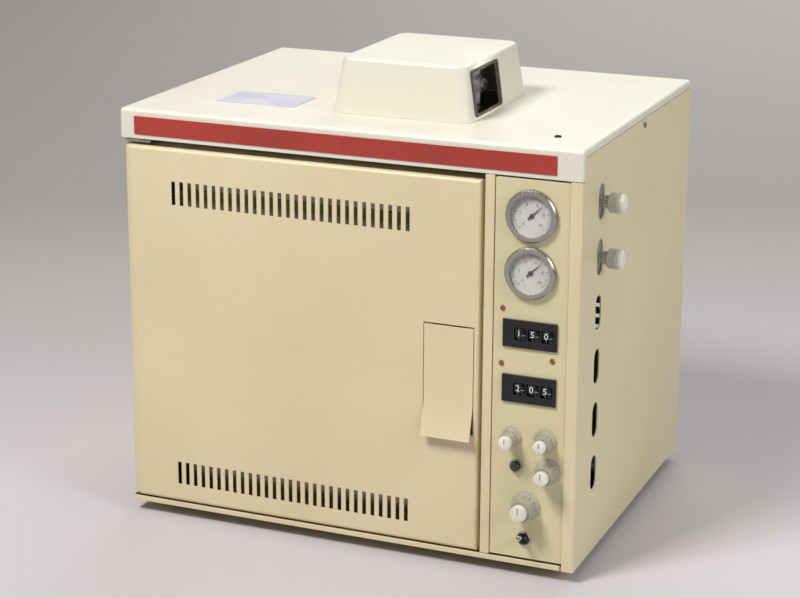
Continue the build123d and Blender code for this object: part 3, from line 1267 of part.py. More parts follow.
for name, z in zip(("flow_knob_upper", "flow_knob_lower"), flow_zs):
    with BuildPart() as flow_knob:
        x0 = CABINET_W + FLOW_GAP
        x1, x2 = x0 + FLOW_NECK_L, x0 + FLOW_NECK_L + FLOW_GRIP_L
        x3 = x2 + FLOW_CAP_L
        root_x = inner_face - FLOW_L / 2 + 1
        with BuildSketch(side_profile(SIDE_SLOT_Y, z)):
            outline(
                (root_x, 0), (root_x, SPINDLE_R), (x0, SPINDLE_R), (x0, FLOW_NECK_R), (x1, FLOW_NECK_R),
                (x1, FLOW_GRIP_R - 0.8), (x1 + 0.8, FLOW_GRIP_R), (x2 - 1.2, FLOW_GRIP_R),
                (x2, FLOW_GRIP_R - 1.2), (x2, FLOW_CAP_R), (x3 - 1, FLOW_CAP_R),
                (x3, FLOW_CAP_R - 1), (x3, 0),
            )
        revolve(axis=side_axis(SIDE_SLOT_Y, z))
        # knurled neck
        with BuildSketch(side(x0)):
            with Locations((SIDE_SLOT_Y, z)):
                with PolarLocations(FLOW_NECK_R, 12):
                    RegularPolygon(0.8, 4)
        extrude(amount=FLOW_NECK_L, mode=Mode.SUBTRACT)
    save(flow_knob.part, name)

# ---------------------------------------------------------------- rear fittings
pipe_y = CABINET_D - SHEET - FITTING_NUT_T - 4 * SEAT
with BuildPart() as gas_fittings:
    for z in FITTING_ZS:
        # nut and threaded stub outside, body through the panel, nut inside
        with BuildSketch(upright(CABINET_D + SEAT)):
            with Locations((FITTING_X, z)):
                RegularPolygon(FITTING_AF / 2, 6, major_radius=False)
        extrude(amount=-(FITTING_NUT_T - SEAT))
        with BuildSketch(upright(CABINET_D + FITTING_NUT_T)):
            with Locations((FITTING_X, z)):
                Circle(FITTING_STUB_R)
        extrude(amount=-FITTING_STUB_L)
        with BuildSketch(upright(CABINET_D + 2 * SEAT)):
            with Locations((FITTING_X, z)):
                Circle(FITTING_R)
        extrude(amount=SHEET + 4 * SEAT)
        with BuildSketch(upright(CABINET_D - SHEET - SEAT)):
            with Locations((FITTING_X, z)):
                RegularPolygon(FITTING_AF / 2, 6, major_radius=False)
        extrude(amount=FITTING_NUT_T)
save(gas_fittings.part, "gas_fittings")

pipes = []
for rear_z, z in zip(FITTING_ZS, flow_zs):
    with BuildPart() as pipe:
        valve_y = SIDE_SLOT_Y + FLOW_W / 2 + SEAT
        valve_x = inner_face - FLOW_L / 2
        mid_y = (valve_y + pipe_y) / 2
        with BuildLine() as route:
            FilletPolyline(
                spot(FITTING_X, pipe_y, rear_z), spot(FITTING_X, mid_y, rear_z),
                spot(valve_x, mid_y - 2 * PIPE_BEND, z), spot(valve_x, valve_y, z),
                radius=PIPE_BEND,
            )
        with BuildSketch(Plane(origin=route.line @ 0, z_dir=route.line % 0)):
            RegularPolygon(PIPE_R, TUBE_SIDES)
        sweep(path=route.line)
    pipes.append(pipe.part)
save(Compound(children=pipes), "gas_tubing")

with BuildPart() as power_inlet:
    depth = INLET_D + 2 * SHEET
    with BuildSketch(upright(CABINET_D + INLET_PROUD)):
        with Locations((INLET_X, INLET_Z)):
            RectangleRounded(INLET_W + INLET_RIM_W, INLET_H + INLET_RIM_H, CORNER_R)
    extrude(amount=INLET_PROUD - SEAT)
    with BuildSketch(upright(CABINET_D + SEAT)):
        with Locations((INLET_X, INLET_Z)):
            Rectangle(INLET_W - 2 * SHEET - 2 * SEAT, INLET_H - 2 * SHEET - 2 * SEAT)
    extrude(amount=depth)
    with BuildSketch(upright(CABINET_D + INLET_PROUD)):
        with Locations((INLET_X, INLET_Z)):
            Rectangle(INLET_MOUTH_W, INLET_MOUTH_H)
            chamfer(vertices().group_by(Axis.Y)[-1], length=INLET_MOUTH_H / 4)
    extrude(amount=INLET_D, mode=Mode.SUBTRACT)
    with BuildSketch(upright(CABINET_D + INLET_PROUD - INLET_D)):
        with Locations((INLET_X, INLET_Z)):
            with Locations(*INLET_PINS):
                Rectangle(INLET_PIN_W, INLET_PIN_H)
    extrude(amount=-INLET_PIN_L)
save(power_inlet.part, "power_inlet")

with BuildPart() as control_board:
    board_y = panel_back + max(SWITCH_DEPTH, GAUGE_DEPTH) + BOARD_ROOM
    board_x0, board_x1 = PANEL_X0 + BOARD_MARGIN, CABINET_W - RIGHT_FLANGE - BOARD_MARGIN
    board_z0 = SHEET + SEAT
    board_mid = (board_x0 + board_x1) / 2
    # upright circuit board on a folded foot
    with BuildSketch(upright(board_y)):
        rect(board_x0, board_z0, board_x1, board_z0 + BOARD_H)
    extrude(amount=-BOARD_T)
    with BuildSketch(level(board_z0)):
        rect(board_x0, board_y, board_x1, board_y + BOARD_FOOT_D)
    extrude(amount=BOARD_T)
    # mains transformer on its plate
    with BuildSketch(level(board_z0)):
        with Locations((board_mid, board_y + TRANSFORMER_BACK)):
            Rectangle(TRANSFORMER_PLATE_W, TRANSFORMER_PLATE_D)
    extrude(amount=BOARD_T)
    with BuildSketch(level(board_z0 + BOARD_T)):
        with Locations((board_mid, board_y + TRANSFORMER_BACK)):
            Rectangle(TRANSFORMER_W, TRANSFORMER_D)
    extrude(amount=TRANSFORMER_H)
    # relays on the board's rear face
    with BuildSketch(upright(board_y + BOARD_T)):
        with Locations((board_mid, board_z0 + BOARD_H / 2)):
            with GridLocations(0, RELAY_PITCH, 1, RELAY_COUNT):
                Rectangle(RELAY_W, RELAY_H)
    extrude(amount=-RELAY_D)
save(control_board.part, "control_board")
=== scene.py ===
"""Finishes, printed marks, small fittings and a studio for a bench gas chromatograph.

Run as a script. Everything is in metres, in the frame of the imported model: x to the right
seen from the front, y to the rear, z up.
"""

import json
from math import cos, pi, radians, sin

import bmesh
import bpy
from bpy.props import FloatProperty, FloatVectorProperty, IntProperty, PointerProperty
from mathutils import Matrix, Vector

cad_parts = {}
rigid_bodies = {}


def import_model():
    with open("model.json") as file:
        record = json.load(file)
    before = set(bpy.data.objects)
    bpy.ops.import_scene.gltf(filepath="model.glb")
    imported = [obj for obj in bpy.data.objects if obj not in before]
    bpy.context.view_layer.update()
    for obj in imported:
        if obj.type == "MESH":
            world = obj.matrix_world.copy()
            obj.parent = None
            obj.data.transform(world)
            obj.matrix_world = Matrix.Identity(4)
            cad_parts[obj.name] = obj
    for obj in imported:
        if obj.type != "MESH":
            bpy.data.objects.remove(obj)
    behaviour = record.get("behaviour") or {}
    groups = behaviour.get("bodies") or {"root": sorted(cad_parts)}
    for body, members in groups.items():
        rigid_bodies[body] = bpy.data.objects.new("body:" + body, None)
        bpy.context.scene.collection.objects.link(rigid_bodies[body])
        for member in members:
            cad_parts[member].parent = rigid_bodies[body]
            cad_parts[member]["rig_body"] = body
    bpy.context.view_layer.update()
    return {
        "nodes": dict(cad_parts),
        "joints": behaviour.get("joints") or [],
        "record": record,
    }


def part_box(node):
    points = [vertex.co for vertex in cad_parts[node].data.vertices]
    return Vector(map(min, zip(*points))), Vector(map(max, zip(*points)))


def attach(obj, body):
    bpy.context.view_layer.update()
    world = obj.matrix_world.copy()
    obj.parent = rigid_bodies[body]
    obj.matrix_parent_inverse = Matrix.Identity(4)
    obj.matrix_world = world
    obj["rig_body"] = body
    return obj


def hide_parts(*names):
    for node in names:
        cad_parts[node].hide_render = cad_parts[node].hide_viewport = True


bl_info = {
    "name": "Bench Gas Chromatograph",
    "version": (1, 0, 0),
    "blender": (4, 5, 0),
    "location": "3D View > Sidebar > Chromatograph",
    "description": "Dresses the chromatograph's parts with finishes, printed marks and fittings",
    "category": "Object",
}

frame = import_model()
MM = 0.001


def linear(red, green, blue):
    """A colour written 0 to 255, as a paint card gives it, in Blender's linear values."""
    return tuple(((c / 255 + 0.055) / 1.055) ** 2.4 if c > 10 else c / 255 / 12.92
                 for c in (red, green, blue))


def joint_place(name):
    """Where a joint of the frame turns."""
    return Vector(next(j["pos_m"] for j in frame["joints"] if j["name"] == name))


# ---------------------------------------------------------------- places taken from the frame
COVER_LOW, COVER_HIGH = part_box("top_cover")
PAN_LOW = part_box("base_pan")[0]
PANEL_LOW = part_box("control_panel")[0]
DIALS_LOW, DIALS_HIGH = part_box("gauge_dials")
SCREWS_LOW, SCREWS_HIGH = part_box("cover_screws")
TOP_Z = COVER_HIGH.z

# ---------------------------------------------------------------- sizes that the source shares
WHEEL_FIGURES = 10
WHEEL_FLAT = 12.0 * MM * cos(pi / WHEEL_FIGURES)   # from a wheel's axle to its flats
FIGURE_SHARE = 0.33                                # of a wheel's width, where its figures stand
DIAL_SWEEP = radians(270)
KNOB_SWEEP = radians(300)
PLATE_SPOT = (113.5, 91.0)                         # across and back from the cabinet's corner
GROMMET_SPOT = (430.0, 45.0)
SIDE_SCREW_BACK, SIDE_SCREW_UP = 190.0, 391.2
REAR_SCREWS_ACROSS = (24.0, 446.0)
REAR_SCREWS_UP = (20.5, 377.5)
RECESS_LENGTH, RECESS_WIDTH = 3.4 * MM, 0.7 * MM
NUT_OUTER, NUT_INNER, NUT_THICK = 7.4 * MM, 6.04 * MM, 2.0 * MM
GUARD_OUTER, GUARD_INNER, GUARD_THICK = 6.6 * MM, 5.05 * MM, 1.4 * MM
FLOW_CAP_RADIUS, FLOW_CAP_LENGTH = 8.4 * MM, 4.0 * MM
CAP_SHARE = {"knob_upper_left": 0.68, "knob_upper_right": 0.58, "knob_middle_right": 0.58,
             "knob_lower": 0.59}
CAP_LENGTH = 5.0 * MM
CAP_SKIN = 0.3 * MM                                # how far a cap stands off its knob

# ---------------------------------------------------------------- studio
FLOOR_HALF = 6.0
PAINTED_FALLOFF_DEPTH = 1.2                                   # behind the origin, where the painted shade of light falling off is full
PLAIN_LIGHT = (1.0, 1.0, 1.0)
COOL_LIGHT = (0.90, 0.96, 1.0)
ROOM_LIGHT = (1.0, 0.99, 0.97, 1.0)


def cabinet_spot(across, back, up):
    """A place in millimetres from the cabinet's front, left, bottom corner."""
    return Vector((COVER_LOW.x + across * MM, COVER_LOW.y + back * MM, PAN_LOW.z + up * MM))


# ---------------------------------------------------------------- settings
def tint(label, what, red, green, blue):
    """A colour setting, its default written 0 to 255."""
    return FloatVectorProperty(name=label, description=what, subtype="COLOR", size=3,
                               min=0.0, max=1.0, default=linear(red, green, blue))


def span(label, what, value):
    """A length setting in metres."""
    return FloatProperty(name=label, description=what, subtype="DISTANCE", unit="LENGTH",
                         default=value, min=0.0, precision=5)


class ChromatographColours(bpy.types.PropertyGroup):
    """Colours of the paints, plastics and metals."""

    cream: tint("Cabinet cream", "Baked enamel on the cabinet and the door", 228, 214, 176)
    cream_shade: tint("Cream variation", "Slightly darker tone the enamel drifts to", 220, 205, 164)
    cover: tint("Cover off-white", "Paler enamel on the top cover and the port cover", 230, 224, 206)
    panel: tint("Control panel", "Enamel of the control panel", 222, 210, 168)
    strip: tint("Trim strip", "Red strip across the top lip", 172, 52, 38)
    black: tint("Switch black", "Black moulded plastic of the switches", 16, 15, 15)
    knob_body: tint("Knob body", "Grey body of the panel knobs", 176, 170, 150)
    knob_cap: tint("Knob cap", "Pale cap of the panel knobs", 236, 230, 214)
    dark_trim: tint("Window trim", "Dark frame round the port window", 62, 57, 50)
    rubber: tint("Rubber", "Feet", 20, 20, 20)
    dial: tint("Dial", "Silvered gauge dial", 196, 192, 184)
    lamp: tint("Lamp", "Unlit red lens of the indicator lamps", 150, 74, 48)
    print_black: tint("Print", "Printed marks on the panel", 58, 54, 44)
    print_white: tint("Figures", "Figures on the thumbwheels", 238, 238, 232)
    plate: tint("Blank plate", "Anodised plate on the top", 214, 212, 226)
    wool: tint("Mineral wool", "Insulation of the oven and the door", 198, 188, 160)
    stainless: tint("Stainless", "Oven liner and the door's inner pan", 168, 164, 156)
    brass: tint("Brass", "Gas fittings", 196, 164, 96)
    copper: tint("Copper", "Gas tubing", 184, 116, 84)
    board: tint("Circuit board", "Solder resist of the control board", 38, 84, 52)


class ChromatographSizes(bpy.types.PropertyGroup):
    """Sizes of the small pieces."""

    sheet_ease: span("Sheet edge", "Rounding of folded and cut sheet edges", 0.45 * MM)
    moulded_ease: span("Moulded edge", "Rounding of moulded and machined edges", 0.3 * MM)
    figure_height: span("Figure height", "Height of a figure on a thumbwheel", 6.2 * MM)
    ink: span("Ink", "Thickness of printed marks", 0.06 * MM)
    dial_figure: span("Dial figure", "Height of a figure on a gauge dial", 3.2 * MM)
    plate_width: span("Plate width", "Blank plate, side to side", 83 * MM)
    plate_depth: span("Plate depth", "Blank plate, front to back", 54 * MM)
    plate_thick: span("Plate thickness", "Blank plate", 0.8 * MM)
    plug_radius: span("Plug radius", "Grommet in the top cover", 3.4 * MM)
    plug_height: span("Plug height", "Grommet above the top cover", 1.6 * MM)
    dial_divisions: IntProperty(name="Dial divisions", description="Small divisions on a gauge",
                                default=50, min=10, max=100)


class ChromatographStudio(bpy.types.PropertyGroup):
    """Camera, lamps and backdrop."""

    azimuth: FloatProperty(name="Azimuth", description="Camera to the right of the front",
                           subtype="ANGLE", default=radians(22.4))
    elevation: FloatProperty(name="Elevation", description="Camera above the horizon",
                             subtype="ANGLE", default=radians(15.6))
    roll: FloatProperty(name="Roll", description="Camera turned about its own line of sight",
                        subtype="ANGLE", default=radians(0.3))
    distance: span("Distance", "From the camera to the point it aims at", 2.182)
    aim_right: FloatProperty(name="Aim right", description="Aim point, to the right",
                             subtype="DISTANCE", unit="LENGTH", default=-0.0250)
    aim_up: span("Aim up", "Aim point, above the floor", 0.252)
    lens: FloatProperty(name="Lens", description="Focal length", subtype="DISTANCE_CAMERA",
                        default=96.1, min=10.0)
    shift: FloatProperty(name="Shift", description="Upward shift of the lens", default=-0.06)
    # floor is the pale tint near the instrument; backdrop is the grey that the same sheet darkens to
    # further back, painted shade of light falling off
    floor: tint("Floor", "Pale floor near the instrument", 200, 193, 195)
    backdrop: tint("Backdrop", "Grey further back", 160, 154, 150)
    top: FloatProperty(name="Top light", description="Large softbox overhead",
                       subtype="POWER", default=5.0, min=0.0)
    key: FloatProperty(name="Front light", description="Softbox from the front left",
                       subtype="POWER", default=72.0, min=0.0)
    side: FloatProperty(name="Side light", description="Weak softbox from the right",
                        subtype="POWER", default=25.0, min=0.0)
    back: FloatProperty(name="Backdrop light", description="Softbox over the floor behind",
                        subtype="POWER", default=120.0, min=0.0)
    sheen: FloatProperty(name="Sheen light", description="White panel behind, seen in the cover's gloss",
                         subtype="POWER", default=10.0, min=0.0)
    window: FloatProperty(name="Window light", description="Narrow light on the port window",
                          subtype="POWER", default=0.03, min=0.0)
    world: FloatProperty(name="Room light", description="Strength of the even room light",
                         default=0.15, min=0.0)


GROUPS = {
    "chromatograph_colours": ChromatographColours,
    "chromatograph_sizes": ChromatographSizes,
    "chromatograph_studio": ChromatographStudio,
}


# ---------------------------------------------------------------- materials
NOISE_ROUGHNESS = 0.55


class Finish:
    """A Principled material in the making, with the few nodes that the finishes share."""

    def __init__(self, name, colour, metallic=0.0, roughness=0.5, **sockets):
        self.material = bpy.data.materials.new(name)
        self.material.use_nodes = True
        self.nodes = self.material.node_tree.nodes
        self.links = self.material.node_tree.links
        self.shader = self.nodes["Principled BSDF"]
        self.shader.inputs["Base Color"].default_value = (*colour, 1.0)
        self.shader.inputs["Metallic"].default_value = metallic
        self.shader.inputs["Roughness"].default_value = roughness
        for socket, value in sockets.items():
            self.shader.inputs[socket.replace("_", " ")].default_value = value
        self.place = self.nodes.new("ShaderNodeTexCoord").outputs["Object"]

    def stretched(self, scale):
        """Object coordinates stretched by a scale for each axis."""
        mapping = self.nodes.new("ShaderNodeMapping")
        mapping.inputs["Scale"].default_value = scale
        self.links.new(self.place, mapping.inputs["Vector"])
        return mapping.outputs["Vector"]

    def noise(self, scale, detail=3.0, place=None, distortion=0.0):
        """Soft noise, its finest detail a few times finer than its scale."""
        texture = self.nodes.new("ShaderNodeTexNoise")
        texture.inputs["Scale"].default_value = scale
        texture.inputs["Detail"].default_value = detail
        texture.inputs["Roughness"].default_value = NOISE_ROUGHNESS
        texture.inputs["Distortion"].default_value = distortion
        self.links.new(place or self.place, texture.inputs["Vector"])
        return texture.outputs["Fac"]

    def bands(self, direction, scale, distortion=0.0):
        """Even bands across a direction."""
        texture = self.nodes.new("ShaderNodeTexWave")
        texture.bands_direction = direction
        texture.inputs["Scale"].default_value = scale
        texture.inputs["Distortion"].default_value = distortion
        self.links.new(self.place, texture.inputs["Vector"])
        return texture.outputs["Fac"]

    def drift(self, amount, low, high, first, second):
        """Lets the colour drift between two tones where amount runs from low to high."""
        ramp = self.nodes.new("ShaderNodeValToRGB")
        ramp.color_ramp.elements[0].position = low
        ramp.color_ramp.elements[0].color = (*first, 1.0)
        ramp.color_ramp.elements[1].position = high
        ramp.color_ramp.elements[1].color = (*second, 1.0)
        self.links.new(amount, ramp.inputs["Fac"])
        self.links.new(ramp.outputs["Color"], self.shader.inputs["Base Color"])

    def gloss(self, amount, smooth, rough):
        """Lets the roughness drift between two values."""
        spread = self.nodes.new("ShaderNodeMapRange")
        spread.inputs["From Min"].default_value = 0.3
        spread.inputs["From Max"].default_value = 0.7
        spread.inputs["To Min"].default_value = smooth
        spread.inputs["To Max"].default_value = rough
        self.links.new(amount, spread.inputs["Value"])
        self.links.new(spread.outputs["Result"], self.shader.inputs["Roughness"])

    def relief(self, height, strength, depth):
        """Fine bumps that are too small to model."""
        bump = self.nodes.new("ShaderNodeBump")
        bump.inputs["Strength"].default_value = strength
        bump.inputs["Distance"].default_value = depth
        self.links.new(height, bump.inputs["Height"])
        self.links.new(bump.outputs["Normal"], self.shader.inputs["Normal"])


def toned(colour, factor):
    """A lighter or darker tone of a colour."""
    return tuple(min(1.0, c * factor) for c in colour)


def baked_enamel(name, colour, shade):
    """Sprayed and baked paint: a fine orange peel, a slow drift of tone and a satin gloss."""
    finish = Finish(name, colour, roughness=0.42, Coat_Weight=0.12, Coat_Roughness=0.25)
    finish.drift(finish.noise(5.0, detail=5.0), 0.34, 0.68, shade, colour)
    finish.gloss(finish.noise(38.0, detail=4.0), 0.36, 0.5)
    finish.relief(finish.noise(520.0, detail=2.0), 0.18, 0.12 * MM)
    return finish.material


def printed_film(name, colour):
    """Glossy printed film stuck to the lip, with faint handling marks."""
    finish = Finish(name, colour, roughness=0.3, Coat_Weight=0.4, Coat_Roughness=0.12)
    finish.drift(finish.noise(9.0, detail=4.0), 0.35, 0.7, toned(colour, 0.86), toned(colour, 1.1))
    finish.gloss(finish.noise(70.0, detail=5.0), 0.24, 0.4)
    finish.relief(finish.noise(240.0), 0.08, 0.05 * MM)
    return finish.material


def moulded(name, colour, roughness=0.42, grain=700.0):
    """Injection-moulded plastic with a fine spark-eroded grain."""
    finish = Finish(name, colour, roughness=roughness)
    finish.drift(finish.noise(60.0, detail=4.0), 0.35, 0.7, toned(colour, 0.85), toned(colour, 1.12))
    finish.gloss(finish.noise(150.0), roughness - 0.08, roughness + 0.08)
    finish.relief(finish.noise(grain, detail=1.0), 0.22, 0.08 * MM)
    return finish.material


def rubber(name, colour):
    """Moulded rubber, dusty and matt."""
    finish = Finish(name, colour, roughness=0.82)
    finish.drift(finish.noise(120.0, detail=6.0), 0.3, 0.75, colour, toned(colour, 2.2))
    finish.relief(finish.noise(900.0), 0.3, 0.1 * MM)
    return finish.material


def brushed_metal(name, colour, grain, roughness=0.34, heat=None, metallic=1.0):
    """Metal brushed along the axis with the low number in grain, with heat tint if given."""
    finish = Finish(name, colour, metallic=metallic, roughness=roughness, Anisotropic=0.35)
    lines = finish.noise(1.0, detail=4.0, place=finish.stretched(grain))
    if heat:
        finish.drift(finish.noise(5.0, detail=4.0, distortion=0.3), 0.3, 0.85, colour, heat)
    else:
        finish.drift(lines, 0.3, 0.75, toned(colour, 0.82), toned(colour, 1.12))
    finish.gloss(lines, roughness - 0.08, roughness + 0.12)
    finish.relief(lines, 0.12, 0.05 * MM)
    return finish.material


def plated_metal(name, colour, roughness=0.22):
    """Zinc, nickel or chromium plating with faint clouding."""
    finish = Finish(name, colour, metallic=1.0, roughness=roughness)
    finish.drift(finish.noise(90.0, detail=6.0), 0.3, 0.7, toned(colour, 0.8), toned(colour, 1.1))
    finish.gloss(finish.noise(160.0, detail=5.0), max(0.05, roughness - 0.08), roughness + 0.14)
    finish.relief(finish.noise(420.0), 0.08, 0.04 * MM)
    return finish.material


def cast_metal(name, colour):
    """Cast and machined aluminium with a coarse matt skin."""
    finish = Finish(name, colour, metallic=0.75, roughness=0.48)
    finish.drift(finish.noise(45.0, detail=7.0), 0.3, 0.72, toned(colour, 0.72), toned(colour, 1.1))
    finish.gloss(finish.noise(110.0, detail=6.0), 0.38, 0.6)
    finish.relief(finish.noise(380.0, detail=4.0), 0.35, 0.12 * MM)
    return finish.material


def mineral_wool(name, colour):
    """Matted fibres of mineral wool."""
    finish = Finish(name, colour, roughness=0.95, Sheen_Weight=0.25)
    fibres = finish.noise(1.0, detail=8.0, place=finish.stretched((900.0, 260.0, 420.0)),
                          distortion=1.4)
    finish.drift(fibres, 0.3, 0.72, toned(colour, 0.68), toned(colour, 1.12))
    finish.relief(fibres, 0.9, 0.6 * MM)
    return finish.material


def glass_braid(name, colour):
    """Braided glass-fibre rope of the door gasket."""
    finish = Finish(name, colour, roughness=0.8, Sheen_Weight=0.3)
    strands = finish.bands("DIAGONAL", 420.0, distortion=1.2)
    finish.drift(strands, 0.15, 0.85, toned(colour, 0.66), toned(colour, 1.1))
    finish.relief(strands, 0.8, 0.4 * MM)
    return finish.material


def silvered_dial(name, colour):
    """Silvered dial with a fine turned grain."""
    finish = Finish(name, colour, metallic=0.35, roughness=0.46)
    grain = finish.noise(1.0, detail=3.0, place=finish.stretched((260.0, 260.0, 1400.0)))
    finish.drift(grain, 0.3, 0.75, toned(colour, 0.88), toned(colour, 1.08))
    finish.gloss(grain, 0.4, 0.54)
    finish.relief(grain, 0.06, 0.02 * MM)
    return finish.material


def clear_lens(name):
    """Thin clear lens that lets light through to the dial."""
    finish = Finish(name, (0.96, 0.97, 0.97), roughness=0.05, IOR=1.49, Transmission_Weight=1.0)
    finish.gloss(finish.noise(40.0, detail=5.0), 0.02, 0.07)
    tree, nodes = finish.material.node_tree, finish.nodes
    open_light = nodes.new("ShaderNodeBsdfTransparent")
    path = nodes.new("ShaderNodeLightPath")
    mix = nodes.new("ShaderNodeMixShader")
    tree.links.new(path.outputs["Is Shadow Ray"], mix.inputs["Fac"])
    tree.links.new(finish.shader.outputs["BSDF"], mix.inputs[1])
    tree.links.new(open_light.outputs["BSDF"], mix.inputs[2])
    tree.links.new(mix.outputs["Shader"], nodes["Material Output"].inputs["Surface"])
    return finish.material


def lamp_lens(name, colour):
    """Moulded red lens with fine ribs, unlit."""
    finish = Finish(name, colour, roughness=0.22, Transmission_Weight=0.15, Coat_Weight=0.5)
    ribs = finish.bands("Z", 800.0)
    finish.drift(ribs, 0.1, 0.9, toned(colour, 0.75), toned(colour, 1.2))
    finish.relief(ribs, 0.3, 0.1 * MM)
    return finish.material


def ink(name, colour):
    """Screen-printed ink with slightly uneven cover."""
    finish = Finish(name, colour, roughness=0.5)
    finish.drift(finish.noise(900.0, detail=3.0), 0.3, 0.7, toned(colour, 0.85), toned(colour, 1.2))
    finish.relief(finish.noise(1500.0), 0.1, 0.02 * MM)
    return finish.material


def circuit_laminate(name, colour):
    """Glass laminate under green solder resist, with copper tracks showing through."""
    finish = Finish(name, colour, roughness=0.36, Coat_Weight=0.3)
    tracks = finish.bands("Z", 260.0, distortion=6.0)
    finish.drift(tracks, 0.35, 0.6, toned(colour, 0.8), toned(colour, 1.35))
    finish.relief(tracks, 0.3, 0.05 * MM)
    return finish.material


BRUSHED_ACROSS = (14.0, 900.0, 900.0)
BRUSHED_UP = (900.0, 900.0, 14.0)
HEAT_STRAW = linear(184, 168, 140)


def finishes(colours):
    """Every finish by its slot in the record, made once."""
    ready = bpy.data.materials.get("cabinet_enamel")
    if ready is None:
        c = colours
        made = {
            "cabinet_paint": baked_enamel("cabinet_enamel", c.cream, c.cream_shade),
            "panel_paint": baked_enamel("panel_enamel", c.panel, toned(c.panel, 0.93)),
            "cover_paint": baked_enamel("cover_enamel", c.cover, toned(c.cover, 0.96)),
            "trim_red": printed_film("red_film", c.strip),
            "foot_rubber": rubber("foot_rubber_black", c.rubber),
            "zinc_steel": plated_metal("zinc_plate", linear(176, 174, 166), 0.32),
            "stainless": brushed_metal("oven_stainless", c.stainless, BRUSHED_ACROSS, 0.3, HEAT_STRAW),
            "mineral_wool": mineral_wool("wool_fibre", c.wool),
            "gasket_braid": glass_braid("glass_braid", linear(206, 200, 182)),
            "aluminium": cast_metal("cast_aluminium", linear(190, 190, 190)),
            "heater_sheath": brushed_metal("heater_sheath_steel", linear(96, 88, 82), BRUSHED_UP, 0.46,
                                           linear(70, 60, 72)),
            "column_steel": brushed_metal("column_tube_steel", linear(176, 174, 168), BRUSHED_UP, 0.22),
            "nut_chrome": plated_metal("nickel_plate", linear(206, 203, 196), 0.16),
            "dark_trim": moulded("dark_trim_plastic", c.dark_trim, 0.5),
            "gauge_metal": brushed_metal("gauge_case_metal", linear(176, 173, 164), BRUSHED_UP, 0.26),
            "dial_face": silvered_dial("silvered_dial_face", c.dial),
            "gauge_glass": clear_lens("gauge_lens"),
            "needle_black": moulded("needle_lacquer", linear(22, 21, 20), 0.4),
            "switch_black": moulded("switch_plastic", c.black, 0.34, 900.0),
            "lamp_red": lamp_lens("lamp_lens_red", c.lamp),
            "knob_grey": moulded("knob_plastic_grey", c.knob_body, 0.44),
            "button_dark": moulded("button_plastic", linear(58, 54, 42), 0.4),
            "lever_metal": plated_metal("lever_chrome", linear(214, 210, 202), 0.14),
            "flow_knob_plastic": moulded("flow_knob_plastic_grey", linear(186, 182, 170), 0.42),
            "brass": brushed_metal("turned_brass", c.brass, BRUSHED_UP, 0.3),
            "copper_tube": brushed_metal("drawn_copper", c.copper, BRUSHED_ACROSS, 0.34),
            "circuit_board": circuit_laminate("laminate_green", c.board),
            "panel_print": ink("panel_ink", c.print_black),
            "figure_print": ink("figure_ink", c.print_white),
            "knob_cap": moulded("knob_cap_pale", c.knob_cap, 0.3),
            "blank_plate": brushed_metal("plate_anodised", c.plate, BRUSHED_ACROSS, 0.42, metallic=0.25),
        }
        for slot_name, material in made.items():
            material["chromatograph_slot"] = slot_name
    return {m["chromatograph_slot"]: m for m in bpy.data.materials if "chromatograph_slot" in m}


SLOT_OF = {row["node"]: row["material_slot"] for row in frame["record"]["subparts"]}


# ---------------------------------------------------------------- making pieces
def finished_piece(name, shape, material, body, flat=False):
    """Turns a shape into a named piece that rides on a body."""
    mesh = bpy.data.meshes.new(name)
    bmesh.ops.recalc_face_normals(shape, faces=shape.faces)
    shape.to_mesh(mesh)
    shape.free()
    for face in mesh.polygons:
        face.use_smooth = not flat
    if not flat:
        mesh.set_sharp_from_angle(angle=radians(34))
    mesh.materials.append(material)
    piece = bpy.data.objects.new(name, mesh)
    bpy.context.scene.collection.objects.link(piece)
    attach(piece, body)
    return piece


def eased_copy(node, width, material, segments=2, corner=30.0):
    """Stands for a node with its own shape, its sharp edges rounded as real edges are."""
    source = frame["nodes"][node]
    shape = bmesh.new()
    shape.from_mesh(source.data)
    bmesh.ops.remove_doubles(shape, verts=shape.verts, dist=0.002 * MM)
    bmesh.ops.dissolve_limit(shape, angle_limit=radians(0.4), verts=shape.verts, edges=shape.edges)
    sharp = [edge for edge in shape.edges
             if len(edge.link_faces) == 2 and edge.calc_face_angle() > radians(corner)]
    bmesh.ops.bevel(shape, geom=sharp, offset=width, offset_type="OFFSET", segments=segments,
                    profile=0.5, affect="EDGES", clamp_overlap=True, material=-1)
    mesh = bpy.data.meshes.new(f"{node}_eased")
    shape.to_mesh(mesh)
    shape.free()
    for face in mesh.polygons:
        face.use_smooth = True
    mesh.materials.append(material)
    piece = bpy.data.objects.new(f"{node}_eased", mesh)
    bpy.context.scene.collection.objects.link(piece)
    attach(piece, source["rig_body"])
    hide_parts(node)
    normals = piece.modifiers.new("even_normals", "WEIGHTED_NORMAL")
    normals.weight = 90
    normals.keep_sharp = False
    return piece


def joined(target, extra):
    """Adds the shape extra to the shape target."""
    mesh = bpy.data.meshes.new("joining")
    extra.to_mesh(mesh)
    extra.free()
    target.from_mesh(mesh)
    bpy.data.meshes.remove(mesh)


def figure_shape(text, height, thickness):
    """A figure as a thin closed shape, centred, upright in the x-z plane, facing the front."""
    curve = bpy.data.curves.new("figure", "FONT")
    curve.body = text
    curve.align_x = "CENTER"
    curve.align_y = "CENTER"
    curve.size = height * 1.36
    curve.extrude = thickness / 2
    curve.resolution_u = 3
    holder = bpy.data.objects.new("figure", curve)
    bpy.context.scene.collection.objects.link(holder)
    bpy.context.view_layer.update()
    mesh = bpy.data.meshes.new_from_object(holder)
    shape = bmesh.new()
    shape.from_mesh(mesh)
    bmesh.ops.remove_doubles(shape, verts=shape.verts, dist=0.001 * MM)
    bmesh.ops.rotate(shape, verts=shape.verts, cent=(0, 0, 0), matrix=Matrix.Rotation(pi / 2, 3, "X"))
    bpy.data.objects.remove(holder)
    bpy.data.curves.remove(curve)
    bpy.data.meshes.remove(mesh)
    return shape


